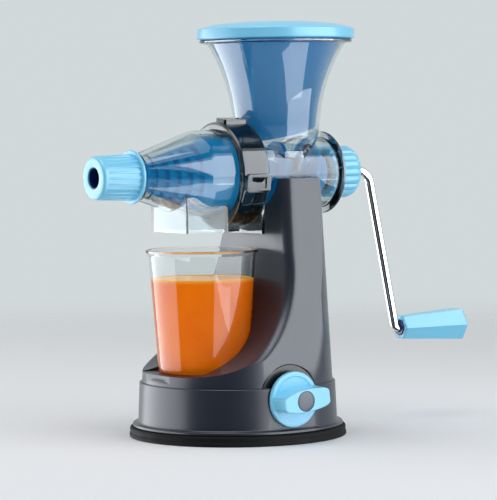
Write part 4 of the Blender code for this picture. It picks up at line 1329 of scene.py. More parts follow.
@dataclass
class Barrel:
    """The clear barrel with its hopper, rear disc, flange and foot, and what is fixed in it."""

    radius: float = 0.026
    wall: float = 0.0025
    end_x: float = 0.0783
    neck_end_x: float = 0.0948
    neck_r: float = 0.0132
    rear_r: float = 0.0305
    rear_t: float = 0.0022
    joint_r: float = 0.0358
    joint_t: float = 0.0032
    hub_r: float = 0.030
    hopper_wall: float = 0.0018
    lip_r: float = 0.0563
    lip_z: float = 0.2885
    lip_t: float = 0.0018
    foot_rise: float = 0.0165
    throat_r: float = 0.0315
    throat_z: float = 0.224
    mouth_r: float = 0.0525
    neck_bore_r: float = 0.0108
    seal_r: tuple[float, float] = (0.0328, 0.0304)
    seal_depth: float = 0.0018
    foot_half: float = 0.024
    foot_z: float = 0.1475
    boss_r: float = 0.0048
    boss_z: tuple[float, float] = (0.158, 0.1655)
    pilot_r: float = 0.0022
    screw_x: tuple[float, float] = (HOPPER_X - 0.011, HOPPER_X + 0.013)

    def hopper_radius(self, z: float) -> float:
        """The hopper's outer radius at a height, flaring like a trumpet.

        Args:
            z: the height.

        Returns:
            The radius there.
        """
        if z <= self.throat_z:
            return self.throat_r
        rise = (z - self.throat_z) / (self.lip_z - self.throat_z)
        return self.throat_r + (self.mouth_r - self.throat_r) * (0.28 * rise + 0.72 * rise**2.4)

    def hopper_outline(
        self, inset: float, top: float, low_z: float, low_r: float, steps: int = 24
    ) -> list[tuple[float, ...]]:
        """The hopper's profile from its top down to its foot.

        Args:
            inset: how far inside the hopper's outer face it lies.
            top: the height it starts at.
            low_z: the height it ends at.
            low_r: its radius there.
            steps: the number of facets in the flare.

        Returns:
            The points, from the top down.
        """
        heights = [blend_of(top, self.throat_z, i / steps) for i in range(steps + 1)]
        flare = [(self.hopper_radius(z) - inset, z) for z in heights]
        knee = (blend_of(flare[-1][0], low_r, 0.22), blend_of(self.throat_z, low_z, 0.55), 0.012)
        return [*flare, knee, (low_r, low_z)]

    def tube(self) -> bpy.types.Object:
        """The barrel, solid, with its neck, rear disc, flange and seal groove.

        Returns:
            The solid tube.
        """
        shelf = self.end_x - self.rear_t
        outer_seal, inner_seal = self.seal_r
        outline = [
            (0, self.neck_end_x),
            (self.neck_r, self.neck_end_x, 0.0004),
            (self.neck_r, self.end_x),
            (self.rear_r, self.end_x, 0.0008),
            (self.rear_r, shelf, 0.0008),
            (self.radius, shelf - 0.001, 0.0008),
            (self.radius, 0.0125, 0.001),
            (self.hub_r, 0.0105, 0.0008),
            (self.hub_r, self.joint_t),
            (self.joint_r, self.joint_t, 0.0005),
            (self.joint_r, 0, 0.0004),
            (outer_seal, 0),
            (outer_seal, self.seal_depth),
            (inner_seal, self.seal_depth),
            (inner_seal, 0),
            (0, 0),
        ]
        return turned("barrel_and_hopper", softened(outline), Lie.ALONG_BARREL, AXIS)

    def hopper(self) -> bpy.types.Object:
        """The hopper's outside, solid, from its lip down into the barrel.

        Returns:
            The solid hopper.
        """
        under = self.lip_z - self.lip_t
        foot_r = self.radius - 0.001
        lip = [(0, self.lip_z), (self.lip_r, self.lip_z, 0.0007), (self.lip_r, under, 0.0007)]
        flare = self.hopper_outline(0, under - 0.0012, AXIS_Z + self.foot_rise, foot_r)
        outline = softened([*lip, *flare, (foot_r, AXIS_Z), (0, AXIS_Z)])
        return turned("hopper", outline, at=(HOPPER_X, 0, 0), start=0.017)

    def hopper_inside(self, throat: float) -> bpy.types.Object:
        """The space in the hopper, down through the barrel's wall.

        Args:
            throat: the radius where it meets the bore.

        Returns:
            The cutter for it.
        """
        low, top = AXIS_Z + 0.002, self.lip_z + OVERRUN
        inner = self.hopper_outline(self.hopper_wall, top, AXIS_Z + self.foot_rise, throat)
        outline = softened([(0, top), *inner, (throat, low), (0, low)])
        return turned("hopper inside", outline, at=(HOPPER_X, 0, 0), start=0.017)

    def build(self) -> None:
        """Builds the moulding and dresses the seals, the bush and the drive."""
        body = combined(self.tube(), "UNION", self.hopper())
        foot = block("foot", (0.007, -self.foot_half, self.foot_z), (0.0095, self.foot_half, AXIS_Z - 0.02))
        combined(body, "UNION", foot)
        for x in self.screw_x:
            boss = turned("boss", plug(self.boss_r, *self.boss_z), at=(x, 0, 0), steps=SMALL_STEPS)
            combined(body, "UNION", boss)
        bore_r, bore_end = self.radius - self.wall, self.end_x - self.rear_t - 0.001
        bore = turned("bore", plug(bore_r, bore_end, -OVERRUN), Lie.ALONG_BARREL, AXIS)
        neck = plug(self.neck_bore_r, 0.07, self.neck_end_x + OVERRUN)
        neck_bore = turned("neck bore", neck, Lie.ALONG_BARREL, AXIS, 64)
        combined(body, "DIFFERENCE", bore, neck_bore, self.hopper_inside(bore_r - 0.003))
        for x in self.screw_x:
            pilot = turned("pilot", plug(self.pilot_r, 0.150, 0.1640), at=(x, 0, 0), steps=16)
            combined(body, "DIFFERENCE", pilot)
        smooth(body, 28)
        report(body, "stand", "clear_plastic", Finishes.SMOKE, "barrel")
        dress_nodes(Finishes.RUBBER, "cover_seal", "rear_seal")
        dress_nodes(Finishes.NYLON, "shaft_bush")
        dress_nodes(Finishes.STEEL, "drive_stub", "set_screw", "grip_retainer")


@dataclass
class FrontCover:
    """The clear cone with its juice spout, the strainer in it and the bayonet collar round it."""

    radius: float = 0.0325
    wall: float = 0.0022
    nose_x: float = -0.084
    nose_r: float = 0.0165
    cone_x: float = -0.038
    snout_r: float = 0.013
    snout_x: float = -0.094
    joint_r: float = 0.0358
    joint_t: float = 0.0032
    spout_x: tuple[float, float] = (-0.0575, -0.022)
    spout_half: float = 0.024
    spout_z: float = 0.1498
    collar_r: float = 0.0385
    collar_x: float = -0.018
    collar_lip: tuple[float, float] = (0.0035, 0.0049)
    collar_step_x: float = -0.0038
    ears: int = 4
    ear_r: float = 0.0412
    ear_w: float = 0.013
    ear_turn: float = 8
    lugs: int = 3
    lug_r: float = 0.0336
    lug_half: float = math.radians(17)
    slots: int = 7
    slot_x: tuple[float, float] = (-0.052, -0.027)

    def cover(self) -> bpy.types.Object:
        """The cone, its flange and its spout.

        Returns:
            The cover.
        """
        outline = [
            (0, self.snout_x),
            (self.snout_r, self.snout_x, 0.0006),
            (self.snout_r, self.nose_x),
            (self.nose_r, self.nose_x, 0.0012),
            (self.radius, self.cone_x, 0.012),
            (self.radius, -self.joint_t - GAP),
            (self.joint_r, -self.joint_t - GAP, 0.0005),
            (self.joint_r, -GAP, 0.0004),
            (0, -GAP),
        ]
        body = turned("front_cover_and_spout", softened(outline, 8), Lie.ALONG_BARREL, AXIS)
        x0, x1 = self.spout_x
        low, high = (x0, -self.spout_half, self.spout_z), (x1, self.spout_half, AXIS_Z - 0.015)
        combined(body, "UNION", block("spout", low, high, 0.0006))
        inner, inner_nose = self.radius - self.wall, self.nose_r - self.wall
        way = [
            (0, OVERRUN),
            (inner, OVERRUN),
            (inner, self.cone_x + 0.0005, 0.012),
            (inner_nose, self.nose_x + self.wall, 0.001),
            (self.snout_r - self.wall, self.nose_x),
            (self.snout_r - self.wall, self.snout_x - OVERRUN),
            (0, self.snout_x - OVERRUN),
        ]
        inside = turned("cover inside", softened(way, 8), Lie.ALONG_BARREL, AXIS, start=0.011)
        combined(body, "DIFFERENCE", inside)
        low = (x0 + self.wall, -self.spout_half + self.wall, self.spout_z - OVERRUN)
        high = (x1 - self.wall, self.spout_half - self.wall, AXIS_Z - 0.014)
        combined(body, "DIFFERENCE", block("spout inside", low, high, 0.0004))
        return smooth(body, 28)

    def strainer(self) -> bpy.types.Object:
        """The sieve cone, slotted over the spout by a row of repeated cutters.

        Returns:
            The sieve.
        """
        play = self.wall + 0.0011
        nose = (self.nose_x + self.wall + 0.004, 0.0187)
        ends = ((-0.0015, self.radius), (self.cone_x, self.radius), nose)
        outer = [(r - play, x) for x, r in ends]
        inner = [(r - play - 0.0012, x) for x, r in reversed(ends)]
        body = turned("juice_strainer", [*outer, *inner], Lie.ALONG_BARREL, AXIS, 64, 0.02)
        pitch = 2 * (self.spout_half - 0.006) / (self.slots - 1)
        first = -pitch * (self.slots - 1) / 2
        near, far = self.slot_x
        cutter = block("slot", (near, first - 0.001, self.spout_z), (far, first + 0.001, AXIS_Z - 0.005))
        row = Repeat(cutter, Finishes.CUP_CLEAR, self.slots, shift=(0, pitch, 0)).build("slots")
        return smooth(combined(body, "DIFFERENCE", row))

    def ear(self) -> bpy.types.Object:
        """One ear of the collar, over the barrel's axis, with its window.

        Returns:
            The ear, not yet turned into its place.
        """
        half = self.ear_w / 2
        low = (self.collar_x + 0.002, -half, self.collar_r - 0.0015)
        ear = block("ear", low, (0.004, half, self.ear_r), 0.002)
        low = (-0.0125, -0.0036, self.collar_r + 0.0012)
        window = block("window", low, (0.0005, 0.0036, self.ear_r + OVERRUN), 0.001)
        return combined(ear, "DIFFERENCE", window)

    def collar(self) -> bpy.types.Object:
        """The bayonet ring, with lugs inside and windowed ears outside.

        Returns:
            The collar.
        """
        low, high = self.collar_lip
        outline = [
            (self.joint_r + GAP, self.collar_step_x),
            (self.joint_r + GAP, high, 0.0004),
            (self.collar_r, high, 0.0012),
            (self.collar_r, self.collar_x, 0.0022),
            (self.radius + GAP, self.collar_x, 0.0008),
            (self.radius + GAP, self.collar_step_x),
        ]
        body = turned("bayonet_collar", softened(outline), Lie.ALONG_BARREL, AXIS)
        for i in range(self.lugs):
            middle = math.radians(90 + 360 / self.lugs * i)
            start, end = middle - self.lug_half, middle + self.lug_half
            ring = arc((0, 0), self.collar_r - 0.001, start, end, 12)
            ring += arc((0, 0), self.lug_r, end, start, 12)
            lug = extruded("lug", ring, low, high - 0.0001, Lie.ALONG_BARREL, AXIS)
            combined(body, "UNION", lug)
        for i in range(self.ears):
            ear = self.ear()
            turn = Matrix.Rotation(math.radians(360 / self.ears * i + self.ear_turn), 4, "X")
            ear.data.transform(Matrix.Translation(AXIS) @ turn)
            combined(body, "UNION", ear)
        eased(body, 0.0004, 50)
        return smooth(body, 35)

    def build(self) -> None:
        """Builds the cover, the strainer and the collar."""
        report(self.cover(), "stand", "clear_plastic", Finishes.SMOKE, "front_cover")
        report(self.strainer(), "stand", "clear_plastic", Finishes.CUP_CLEAR, "strainer")
        # The collar's dark tint paints the darkness seen through its thick ring.
        report(self.collar(), "collar", "clear_plastic", Finishes.DARK_SMOKE, "locking_collar")


@dataclass
class PulpNozzle:
    """The fluted blue nozzle on the cover's snout."""

    front_x: float = -0.120
    back_x: float = -0.0875
    front_r: float = 0.0156
    back_r: float = 0.0166
    flange_r: float = 0.0193
    flange_t: float = 0.0022
    hole_r: float = 0.0078
    snout_way_r: float = 0.0133
    seat_x: float = -0.0943
    # How thick the navy sleeve that paints the bore's shade is.
    shade_thickness: float = 0.0006
    flutes: int = 24
    flute_h: float = 0.0009
    flute_w: float = 0.0024

    def flute(self) -> bpy.types.Object:
        """The topmost flute, which starts low behind the nozzle's round front edge.

        Returns:
            The flute, to be repeated round the nozzle.
        """
        shelf = self.back_x - self.flange_t
        half = self.flute_w / 2
        rings = []
        for x, rise, share in ((-0.1172, 0.0, 0.3), (-0.1155, 1.0, 1.0), (shelf + 0.0002, 1.0, 1.0)):
            radius = blend_of(self.front_r, self.back_r, (x - self.front_x) / (shelf - self.front_x))
            crest = radius - self.flute_h + rise * self.flute_h
            low = radius - self.flute_h - 0.0006
            side = half * share
            brow, shoulder = side * 0.7, crest - 0.00008
            section = ((-side, low), (side, low), (brow, shoulder), (0, crest), (-brow, shoulder))
            rings.append([(x, y, z) for y, z in section])
        return smooth(lofted("flute", rings), 60)

    def build(self) -> None:
        """Builds the nozzle with its flutes, and a navy sleeve in its bore that paints the shade inside the
        hole.
        """
        shelf = self.back_x - self.flange_t
        outline = [
            (self.hole_r, -0.113),
            (self.hole_r, self.front_x + 0.0002, 0.0004),
            (self.front_r, self.front_x, 0.0024),
            (self.back_r - self.flute_h, shelf, 0.0006),
            (self.flange_r, shelf, 0.0009),
            (self.flange_r, self.back_x, 0.0007),
            (self.snout_way_r, self.back_x),
            (self.snout_way_r, self.seat_x),
            (self.hole_r + 0.003, self.seat_x),
            (self.hole_r, self.front_x + 0.012),
        ]
        body = turned("fluted_pulp_nozzle", softened(outline, 6), Lie.ALONG_BARREL, AXIS)
        smooth(body, 40)
        step = (2 * math.pi / self.flutes, 0, 0)
        flutes = Repeat(self.flute(), Finishes.SKY, self.flutes, turn=step, centre=AXIS).build("flutes")
        report(merged(body, flutes), "nozzle", "blue_plastic", Finishes.SKY, "pulp_nozzle")
        # A thin navy sleeve in the bore is painted shade: it darkens the inside of the nozzle's hole.
        skin, mouth = self.hole_r - self.shade_thickness, self.front_x + 0.0012
        ring = [(self.hole_r, mouth), (self.hole_r, self.seat_x), (skin, self.seat_x), (skin, mouth)]
        shade_sleeve = turned("nozzle_bore_liner", ring, Lie.ALONG_BARREL, AXIS, FINE_STEPS)
        report(smooth(shade_sleeve), "nozzle", "deep_blue_plastic", Finishes.NAVY)


@dataclass
class Auger:
    """The blue screw: a ribbed cone, a drum, a feed flight and the journal that the crank drives."""

    tip_x: float = -0.090
    cone_x: tuple[float, float] = (-0.081, -0.038)
    cone_r: tuple[float, float] = (0.0085, 0.0235)
    grooves: int = 5
    groove_depth: float = 0.0030
    last_groove_x: float = -0.0450
    drum_x: tuple[float, float] = (-0.032, -0.004)
    drum_r: float = 0.0270
    core_r: float = 0.0100
    ribs: int = 10
    rib_pitch: float = 0.40
    seal_r: float = 0.0155
    shoulder_x: float = 0.0721
    journal_r: float = 0.0078
    journal_x: float = 0.0908
    socket_half: float = 0.0043

    def cone_radius(self, x: float) -> float:
        """The cone's radius along the barrel."""
        start, end = self.cone_x
        return blend_of(*self.cone_r, (x - start) / (end - start))

    def groove_outline(self) -> Points:
        """The rings cut round the cone, as points of its outline.

        Returns:
            The points, from the cone's tip back.
        """
        depth = self.groove_depth
        points = []
        for i in range(self.grooves):
            x = blend_of(self.cone_x[0] + 0.004, self.last_groove_x, i / (self.grooves - 1))
            for shift, drop in ((0, 0), (0.0005, depth), (0.0033, depth), (0.0042, 0)):
                points.append((self.cone_radius(x + shift) - drop, x + shift))
        return points

    def rib(self) -> bpy.types.Object:
        """One long rib, which leans round the cone as it runs back.

        Returns:
            The rib, to be repeated round the cone.
        """
        rings = []
        for i in range(13):
            x = blend_of(self.cone_x[0] + 0.002, -0.039, i / 12)
            angle = -2 * math.pi * x / self.rib_pitch
            out = Vector((0, -math.cos(angle), math.sin(angle)))
            side = Vector((0, -math.sin(angle), -math.cos(angle))) * 0.0008
            low, high = self.cone_radius(x) - 0.0015, self.cone_radius(x) + 0.0013
            corners = (out * low - side, out * low + side, out * high + side * 0.5, out * high - side * 0.5)
            rings.append([Vector((x, 0, 0)) + c for c in corners])
        return smooth(lofted("rib", rings), 40)

    def build(self) -> None:
        """Builds the screw."""
        (tip_r, cone_r), (cone_x, cone_end) = self.cone_r, self.cone_x
        outline = [
            (0, self.tip_x),
            (tip_r, self.tip_x, 0.002),
            (tip_r, cone_x),
            *self.groove_outline(),
            (cone_r, cone_end, 0.001),
            (self.drum_r, self.drum_x[0], 0.0015),
            (self.drum_r, self.drum_x[1], 0.001),
            (self.core_r, -0.001),
            (self.core_r, 0.060, 0.003),
            (self.seal_r, 0.068, 0.002),
            (self.seal_r, self.shoulder_x, 0.0005),
            (self.journal_r, self.shoulder_x),
            (self.journal_r, self.journal_x, 0.0005),
            (0, self.journal_x),
        ]
        body = turned("feed_auger", softened(outline, 5), Lie.ALONG_BARREL, AXIS)
        half = self.socket_half
        socket = block("socket", (0.0603, -half, AXIS_Z - half), (0.094, half, AXIS_Z + half))
        smooth(combined(body, "DIFFERENCE", socket), 35)
        step = (2 * math.pi / self.ribs, 0, 0)
        ribs = Repeat(self.rib(), Finishes.TEAL, self.ribs, turn=step, centre=AXIS).build("ribs")
        flight = HelicalRib(
            radius=0.0151, height=0.0705, turns=2.518, depth=0.0142, thickness=0.0026, finish=Finishes.TEAL
        )
        coil = smooth(flight.build("flight", (-0.0045, 0, AXIS_Z)))
        report(merged(body, ribs, coil), "crank", "deep_blue_plastic", Finishes.TEAL, "auger")


@dataclass
class RearNut:
    """The scalloped nut behind the barrel."""

    radius: float = 0.0196
    low_x: float = 0.0793
    scallops: int = 18
    scallop_steps: int = 12
    depth: float = 0.0014
    thread_r: float = 0.0135
    thread_end_x: float = 0.0969
    hole_r: float = 0.0062

    def build(self) -> None:
        """Builds the nut: a waved outline whose ends are rounded over."""
        count = self.scallops * self.scallop_steps
        foot = ((0, 0.0006), (0.0008, 0), (0.0170, 0))
        crown = ((0.0200, 0.0006), (0.0222, 0.0018), (0.0232, 0.0036))
        rings = []
        for height, inset in (*foot, *crown):
            ring = []
            for i in range(count):
                angle = 2 * math.pi * i / count
                wave = abs(math.sin(angle * self.scallops / 2))
                radius = self.radius - inset - self.depth * (1 - wave) ** 1.5
                ring.append((radius * math.cos(angle), radius * math.sin(angle), self.low_x + height))
            rings.append(ring)
        body = lofted("scalloped_rear_nut", rings, Lie.ALONG_BARREL, AXIS)
        end = self.thread_end_x
        thread = [*plug(self.thread_r, 0.078, end)[:3], *plug(self.hole_r, end, 0.11)[1:]]
        combined(body, "DIFFERENCE", turned("thread", thread, Lie.ALONG_BARREL, AXIS, 64))
        report(smooth(body, 40), "nut", "blue_plastic", Finishes.SKY, "rear_nut")


@dataclass
class Crank:
    """The bent steel rod and the six-sided handle that spins on it."""

    rod_r: float = 0.0035
    start_x: float = 0.0848
    high_x: float = 0.1202
    low_x: float = 0.1450
    bend_r: tuple[float, float] = (0.010, 0.005)
    grip_x: tuple[float, float] = (0.1490, 0.205)
    tip_x: float = 0.2136
    grip_r: tuple[float, float] = (0.0090, 0.0134)
    sides: int = 6

    @staticmethod
    def bend(
        before: Vector, corner: Vector, after: Vector, radius: float, steps: int = 16
    ) -> list[Vector]:
        """Points of the arc that rounds a corner between two straight runs.

        Args:
            before: the corner before this one.
            corner: the corner to round.
            after: the corner after it.
            radius: the arc's radius.
            steps: facets in the arc.

        Returns:
            The arc's points, in order.
        """
        back, on = (before - corner).normalized(), (after - corner).normalized()
        half = back.angle(on) / 2
        centre = corner + (back + on).normalized() * radius / math.sin(half)
        first = (corner + back * radius / math.tan(half) - centre).normalized()
        last = (corner + on * radius / math.tan(half) - centre).normalized()
        return [centre + first.slerp(last, i / steps) * radius for i in range(steps + 1)]

    def rod(self) -> bpy.types.Object:
        """The rod, swept along its two bends.

        Returns:
            The rod.
        """
        start, high = Vector((self.start_x, 0, AXIS_Z)), Vector((self.high_x, 0, AXIS_Z))
        low, end = Vector((self.low_x, 0, GRIP_Z)), Vector((self.grip_x[1] - 0.006, 0, GRIP_Z))
        bends = self.bend(start, high, low, self.bend_r[0]), self.bend(high, low, end, self.bend_r[1])
        path = [start, *bends[0], *bends[1], end]
        curve = bpy.data.curves.new("rod path", "CURVE")
        curve.dimensions = "3D"
        curve.bevel_depth = self.rod_r
        curve.bevel_resolution = 8
        curve.use_fill_caps = True
        line = curve.splines.new("POLY")
        line.points.add(len(path) - 1)
        for point, place in zip(line.points, path):
            point.co = (*place, 1)
        source = linked("rod path", curve)
        graph = bpy.context.evaluated_depsgraph_get()
        mesh = bpy.data.meshes.new_from_object(source.evaluated_get(graph))
        bpy.data.objects.remove(source)
        return smooth(linked("bent_crank_rod", turned_outwards(mesh, 1e-6)), 50)

    def build(self) -> None:
        """Builds the rod, the handle and its cap."""
        report(self.rod(), "crank", "steel", Finishes.STEEL, "crank_rod")
        at = (0, 0, GRIP_Z)
        x0, x1 = self.grip_x
        small, large = self.grip_r
        outline = [(0, x1), (large, x1), (small + 0.0008, x0 + 0.0008), (small, x0), (0, x0)]
        body = turned("six_sided_grip", outline, Lie.ALONG_BARREL, at, self.sides, math.pi / 2)
        rod_way = plug(0.0039, x0 - OVERRUN, x1)
        bush_seat = plug(0.0061, x0 - OVERRUN, x0 + 0.008)
        retainer_way = plug(0.0064, x1 - 0.0095, x1 + OVERRUN)
        for i, way in enumerate((rod_way, bush_seat, retainer_way)):
            cutter = turned(f"way {i}", way, Lie.ALONG_BARREL, at, SMALL_STEPS, 0.03 * i)
            combined(body, "DIFFERENCE", cutter)
        eased(body, 0.0007, 25)
        report(body, "hand_grip", "blue_plastic", Finishes.SKY, "grip")
        low = x1 + GAP
        tip = [(0, self.tip_x), (0.003, self.tip_x), (large, low), (0, low)]
        cap = turned("grip_end_cap", tip, Lie.ALONG_BARREL, at, self.sides, math.pi / 2)
        spigot = plug(0.0061, low - 0.003, low + OVERRUN)
        combined(cap, "UNION", turned("spigot", spigot, Lie.ALONG_BARREL, at, SMALL_STEPS, 0.02))
        report(eased(cap, 0.0010, 25), "hand_grip", "blue_plastic", Finishes.SKY, "grip_cap")
        dress_nodes(Finishes.NAVY, "grip_bush")


@dataclass
class Pusher:
    """The food pusher and the lid that is its handle."""

    barrel: Barrel
    wall: float = 0.0016
    play: float = 0.0010
    end_z: float = 0.2200
    slant: float = math.radians(-14)
    foot_rise: float = 0.0237
    top_z: float = 0.2922
    rim_r: float = 0.0559
    lid_r: float = 0.0582
    lid_wall: float = 0.002
    lid_low_z: float = 0.2895
    lid_roof_z: float = 0.2925
    lid_brow_z: float = 0.2968
    lid_top_z: float = 0.3025

    def below(self, height: float) -> bpy.types.Object:
        """Everything under a plane that slants across the hopper.

        Args:
            height: the plane's height on the hopper's axis.

        Returns:
            The cutter for it.
        """
        made = block("slant", (-0.09, -0.09, -0.09), (0.09, 0.09, 0))
        turn = Matrix.Rotation(self.slant, 4, "Y")
        made.data.transform(Matrix.Translation((HOPPER_X, 0, height)) @ turn)
        return made

    def shell(self) -> bpy.types.Object:
        """The pusher: a funnel that fits the hopper, with a slanted closed end.

        Returns:
            The pusher.
        """
        at = (HOPPER_X, 0, 0)
        inset = self.barrel.hopper_wall + self.play
        seat = self.barrel.lip_z + GAP
        foot_z = AXIS_Z + self.foot_rise
        foot_r = self.barrel.throat_r - inset - 0.006
        flare = self.barrel.hopper_outline(inset, seat, foot_z, foot_r)
        rim = [(0, self.top_z), (self.rim_r, self.top_z, 0.0005), (self.rim_r, seat, 0.0005)]
        body = turned("food_pusher_shell", softened([*rim, *flare, (0, foot_z)]), at=at)
        combined(body, "DIFFERENCE", self.below(self.end_z))
        inner = self.barrel.hopper_outline(inset + self.wall, seat, foot_z, foot_r - self.wall)
        top = self.top_z + OVERRUN
        outline = softened([(0, top), (inner[0][0], top), *inner, (0, foot_z)])
        hollow = turned("hollow", outline, at=at, start=0.02)
        combined(hollow, "DIFFERENCE", self.below(self.end_z + self.wall))
        return smooth(combined(body, "DIFFERENCE", hollow), 35)

    def lid(self) -> bpy.types.Object:
        """The domed lid that snaps over the pusher's rim.

        Returns:
            The lid.
        """
        inner_r = self.lid_r - self.lid_wall
        outline = [
            (0, self.lid_top_z),
            (0.026, self.lid_top_z - 0.0006),
            (0.045, self.lid_top_z - 0.0024, 0.03),
            (self.lid_r - 0.0003, self.lid_brow_z, 0.0011),
            (self.lid_r, self.lid_low_z + 0.0006),
            (self.lid_r - 0.0005, self.lid_low_z),
            (inner_r, self.lid_low_z),
            (inner_r, self.lid_roof_z),
            (0, self.lid_roof_z),
        ]
        lid = turned("hopper_lid_cap", softened(outline, 8), at=(HOPPER_X, 0, 0), steps=WIDE_STEPS)
        return smooth(lid, 40)

    def build(self) -> None:
        """Builds the pusher and the lid."""
        report(self.shell(), "food_pusher", "deep_blue_plastic", Finishes.DEEP_BLUE, "pusher")
        report(self.lid(), "food_pusher", "blue_plastic", Finishes.SKY, "hopper_lid")


@dataclass
class Cup:
    """The clear cup and the juice in it."""

    floor_z: float = 0.0478
    platform_z: float = 0.0475
    bottom_r: float = 0.0325
    body_r: float = 0.0390
    body_z: float = 0.133
    lip_r: float = 0.041
    top_z: float = 0.137
    wall: float = 0.0016
    foot_rise: float = 0.0005
    juice_overlap: float = 0.0004

    def radius(self, z: float) -> float:
        """The cup's outer radius at a height."""
        rise = (z - self.platform_z) / (self.body_z - self.platform_z)
        return blend_of(self.bottom_r, self.body_r, rise)

    def vessel(self) -> bpy.types.Object:
        """The cup, with a turned-out lip and a raised middle under its floor.

        Returns:
            The cup.
        """
        wall, floor = self.wall, self.floor_z + self.wall
        outline = [
            (0, floor + 0.0003),
            (self.bottom_r - wall, floor + 0.0003, 0.0055),
            (self.body_r - wall, self.body_z, 0.002),
            (self.lip_r - wall, self.top_z, 0.0006),
            (self.lip_r, self.top_z, 0.0007),
            (self.lip_r, self.top_z - 0.0018, 0.0006),
            (self.body_r, self.body_z, 0.002),
            (self.bottom_r, self.floor_z + 0.001, 0.0065),
            (self.bottom_r - 0.004, self.floor_z, 0.0008),
            (self.bottom_r - 0.006, self.floor_z + self.foot_rise, 0.0006),
            (0, self.floor_z + self.foot_rise),
        ]
        cup = turned("clear_cup", softened(outline, 5), at=(CUP_X, 0, 0), steps=WIDE_STEPS)
        return smooth(cup, 40)

    def juice(self) -> bpy.types.Object:
        """The juice, let a little into the wall so that no air shows between them.

        Returns:
            The juice.
        """
        floor = self.floor_z + self.wall
        skin = self.wall - self.juice_overlap
        shore = self.radius(JUICE_Z) - skin
        outline = [
            (0, floor),
            (self.bottom_r - skin, floor, 0.0055),
            (shore, JUICE_Z, 0.0001),
            (shore - 0.0012, JUICE_Z - 0.0006, 0.0006),
            (0, JUICE_Z - 0.0008),
        ]
        juice = turned("orange_juice_fill", softened(outline, 5), at=(CUP_X, 0, 0), steps=WIDE_STEPS)
        return smooth(juice, 50)

    def build(self) -> None:
        """Builds the cup and the juice."""
        report(self.vessel(), "juice_cup", "clear_plastic", Finishes.CUP_CLEAR, "cup")
        report(self.juice(), "juice_cup", "clear_plastic", Finishes.JUICE)


# ---- the studio ----
@dataclass(frozen=True)
class Softbox:
    """A large soft lamp that faces the juicer; one for shine only is seen in gloss and lights nothing."""

    name: str
    azimuth: float
    elevation: float
    distance: float
    width: float
    height: float
    radiance: float
    shine_only: bool = False

    def build(self, target: Vector) -> None:
        """Hangs the lamp; azimuth 0 is on the user's side, and positive turns towards the crank.

        Args:
            target: the point that it faces.
        """
        data = bpy.data.lights.new(self.name, "AREA")
        data.shape = "RECTANGLE"
        data.size, data.size_y = self.width, self.height
        data.energy = math.pi * self.width * self.height * self.radiance
        data.color = LAMP_COLOUR
        turn, rise = math.radians(self.azimuth), math.radians(self.elevation)
        level = math.cos(rise)
        away = Vector((math.sin(turn) * level, -math.cos(turn) * level, math.sin(rise)))
        lamp = linked(self.name, data)
        lamp.location = target + away * self.distance
        lamp.rotation_mode = "QUATERNION"
        lamp.rotation_quaternion = (-away).to_track_quat("-Z", "Y")
        lamp.visible_camera = False
        lamp.visible_transmission = False
        lamp.visible_diffuse = not self.shine_only


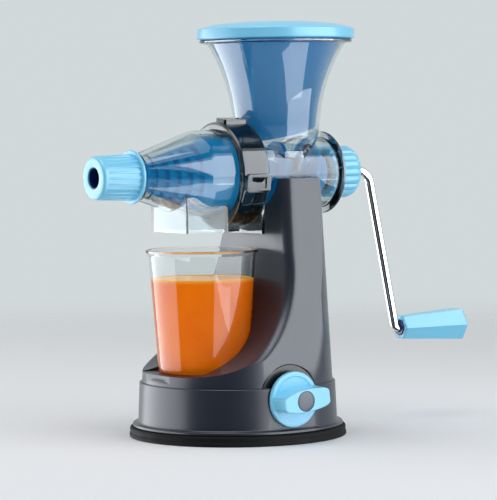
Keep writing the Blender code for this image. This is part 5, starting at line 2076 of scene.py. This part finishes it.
@dataclass
class Studio:
    """Floor, world, lamps and camera."""

    backdrop: Colour = (0.64, 0.69, 0.70)
    floor: Colour = (0.87, 0.88, 0.89)
    fill: float = 0.32
    dark_side: float = 0.07
    floor_r: float = 4.0
    fade: tuple[float, float] = (0.30, 1.5)
    lens: float = 187.2
    camera_away: float = 1.90
    camera_z: float = 0.236

    def world(self) -> None:
        """A plain pale room, which gloss and clear plastic show too, darkening behind the camera."""
        world = bpy.data.worlds.new("studio")
        bpy.context.scene.world = world
        world.use_nodes = True
        graph = Graph(world.node_tree)
        way = graph.add("ShaderNodeTexCoord", output="Generated")
        facing = {0: way, 1: (-0.55, -0.83, 0.0)}
        front = graph.add("ShaderNodeVectorMath", {"operation": "DOT_PRODUCT"}, facing, "Value")
        dark = scaled(self.backdrop, self.dark_side)
        dim = graph.mixed(front.within(-0.55, 0.1), self.backdrop, dark)
        plain = {"Color": (*self.backdrop, 1), "Strength": 1.0}
        seen = graph.add("ShaderNodeBackground", sockets=plain)
        shine = graph.add("ShaderNodeBackground", sockets={"Color": dim, "Strength": 1.0})
        white = {"Color": (1, 1, 1, 1), "Strength": self.fill}
        light = graph.add("ShaderNodeBackground", sockets=white)
        camera_ray = graph.add("ShaderNodeLightPath", output="Is Camera Ray")
        through_ray = graph.add("ShaderNodeLightPath", output="Is Transmission Ray")
        glossy_ray = graph.add("ShaderNodeLightPath", output="Is Glossy Ray")
        shown = glossy_ray.at_least(through_ray)
        surface = graph.add("ShaderNodeMixShader", sockets={0: shown, 1: light, 2: shine})
        surface = graph.add("ShaderNodeMixShader", sockets={0: camera_ray, 1: surface, 2: seen})
        graph.add("ShaderNodeOutputWorld", sockets={"Surface": surface})

    def ground(self) -> None:
        """A pale matt floor that fades into the room with its distance from the juicer."""
        floor = turned("studio_floor", plug(self.floor_r, -0.02, 0), steps=64)
        material = bpy.data.materials.new("pale_floor")
        material.use_nodes = True
        graph = Graph(material.node_tree)
        length = {"operation": "LENGTH"}
        distance = graph.add("ShaderNodeVectorMath", length, {0: graph.place()}, "Value")
        speck = graph.noise(260.0, 4.0)
        tint = graph.mixed(speck.within(0.4, 0.7) * 0.5, self.floor, scaled(self.floor, 0.97))
        matt = {"Base Color": tint, "Roughness": 0.8, "Specular IOR Level": 0.05}
        stone = graph.add("ShaderNodeBsdfPrincipled", sockets=matt)
        clear = graph.add("ShaderNodeBsdfTransparent")
        faded = distance.within(*self.fade)
        surface = graph.add("ShaderNodeMixShader", sockets={0: faded, 1: stone, 2: clear})
        graph.add("ShaderNodeOutputMaterial", sockets={"Surface": surface})
        floor.data.materials.append(material)
        floor.visible_glossy = False
        floor.visible_shadow = False

    def camera(self) -> None:
        """The camera, low and to the nozzle's side of the user."""
        data = bpy.data.cameras.new("camera")
        data.lens = self.lens
        data.sensor_width = 36
        data.clip_start, data.clip_end = 0.05, 50
        azimuth, yaw, pitch, roll = (math.radians(a) for a in (33.5, 0.28, 3.04, 0.65))
        heading = Vector((math.sin(azimuth + yaw), math.cos(azimuth + yaw), 0))
        right = Vector((math.cos(azimuth + yaw), -math.sin(azimuth + yaw), 0))
        ahead = heading * math.cos(pitch) - Vector((0, 0, 1)) * math.sin(pitch)
        up = right.cross(ahead)
        level, tilt = math.cos(roll), math.sin(roll)
        right, up = right * level - up * tilt, up * level + right * tilt
        turn = Matrix((right, up, -ahead)).transposed().to_4x4()
        away = self.camera_away
        place = Vector((-math.sin(azimuth) * away, -math.cos(azimuth) * away, self.camera_z))
        camera = linked("camera", data)
        camera.matrix_world = Matrix.Translation(place) @ turn
        bpy.context.scene.camera = camera

    def build(self) -> None:
        """Sets up the whole studio."""
        bpy.context.scene.view_settings.view_transform = "Standard"
        self.world()
        self.ground()
        target = Vector((0.03, 0, 0.16))
        for lamp in (
            Softbox("front right softbox", 27, 24, 1.35, 1.9, 1.3, 1.45),
            Softbox("back left softbox", -139, 22, 1.35, 1.7, 1.3, 1.25),
            Softbox("overhead softbox", -60, 78, 1.40, 1.3, 1.3, 1.45),
            Softbox("front right shine", 28, 12, 1.36, 1.9, 1.7, 4.5, True),
            Softbox("low right shine", 12, -36, 1.36, 1.0, 0.9, 3.4, True),
            Softbox("back left shine", -133, -17, 1.36, 2.1, 1.4, 3.8, True),
            Softbox("overhead shine", -80, 66, 1.41, 1.1, 0.9, 3.5, True),
        ):
            lamp.build(target)
        self.camera()


def main() -> None:
    """Builds the studio and every sub-assembly in order."""
    logging.basicConfig(level=logging.INFO, format="%(name)s: %(message)s", stream=sys.stdout)
    Studio().build()
    Pedestal().build()
    SuctionBase().build()
    SuctionKnob().build()
    barrel = Barrel()
    barrel.build()
    FrontCover().build()
    PulpNozzle().build()
    Auger().build()
    RearNut().build()
    Crank().build()
    Pusher(barrel).build()
    Cup().build()


if __name__ == "__main__":
    main()
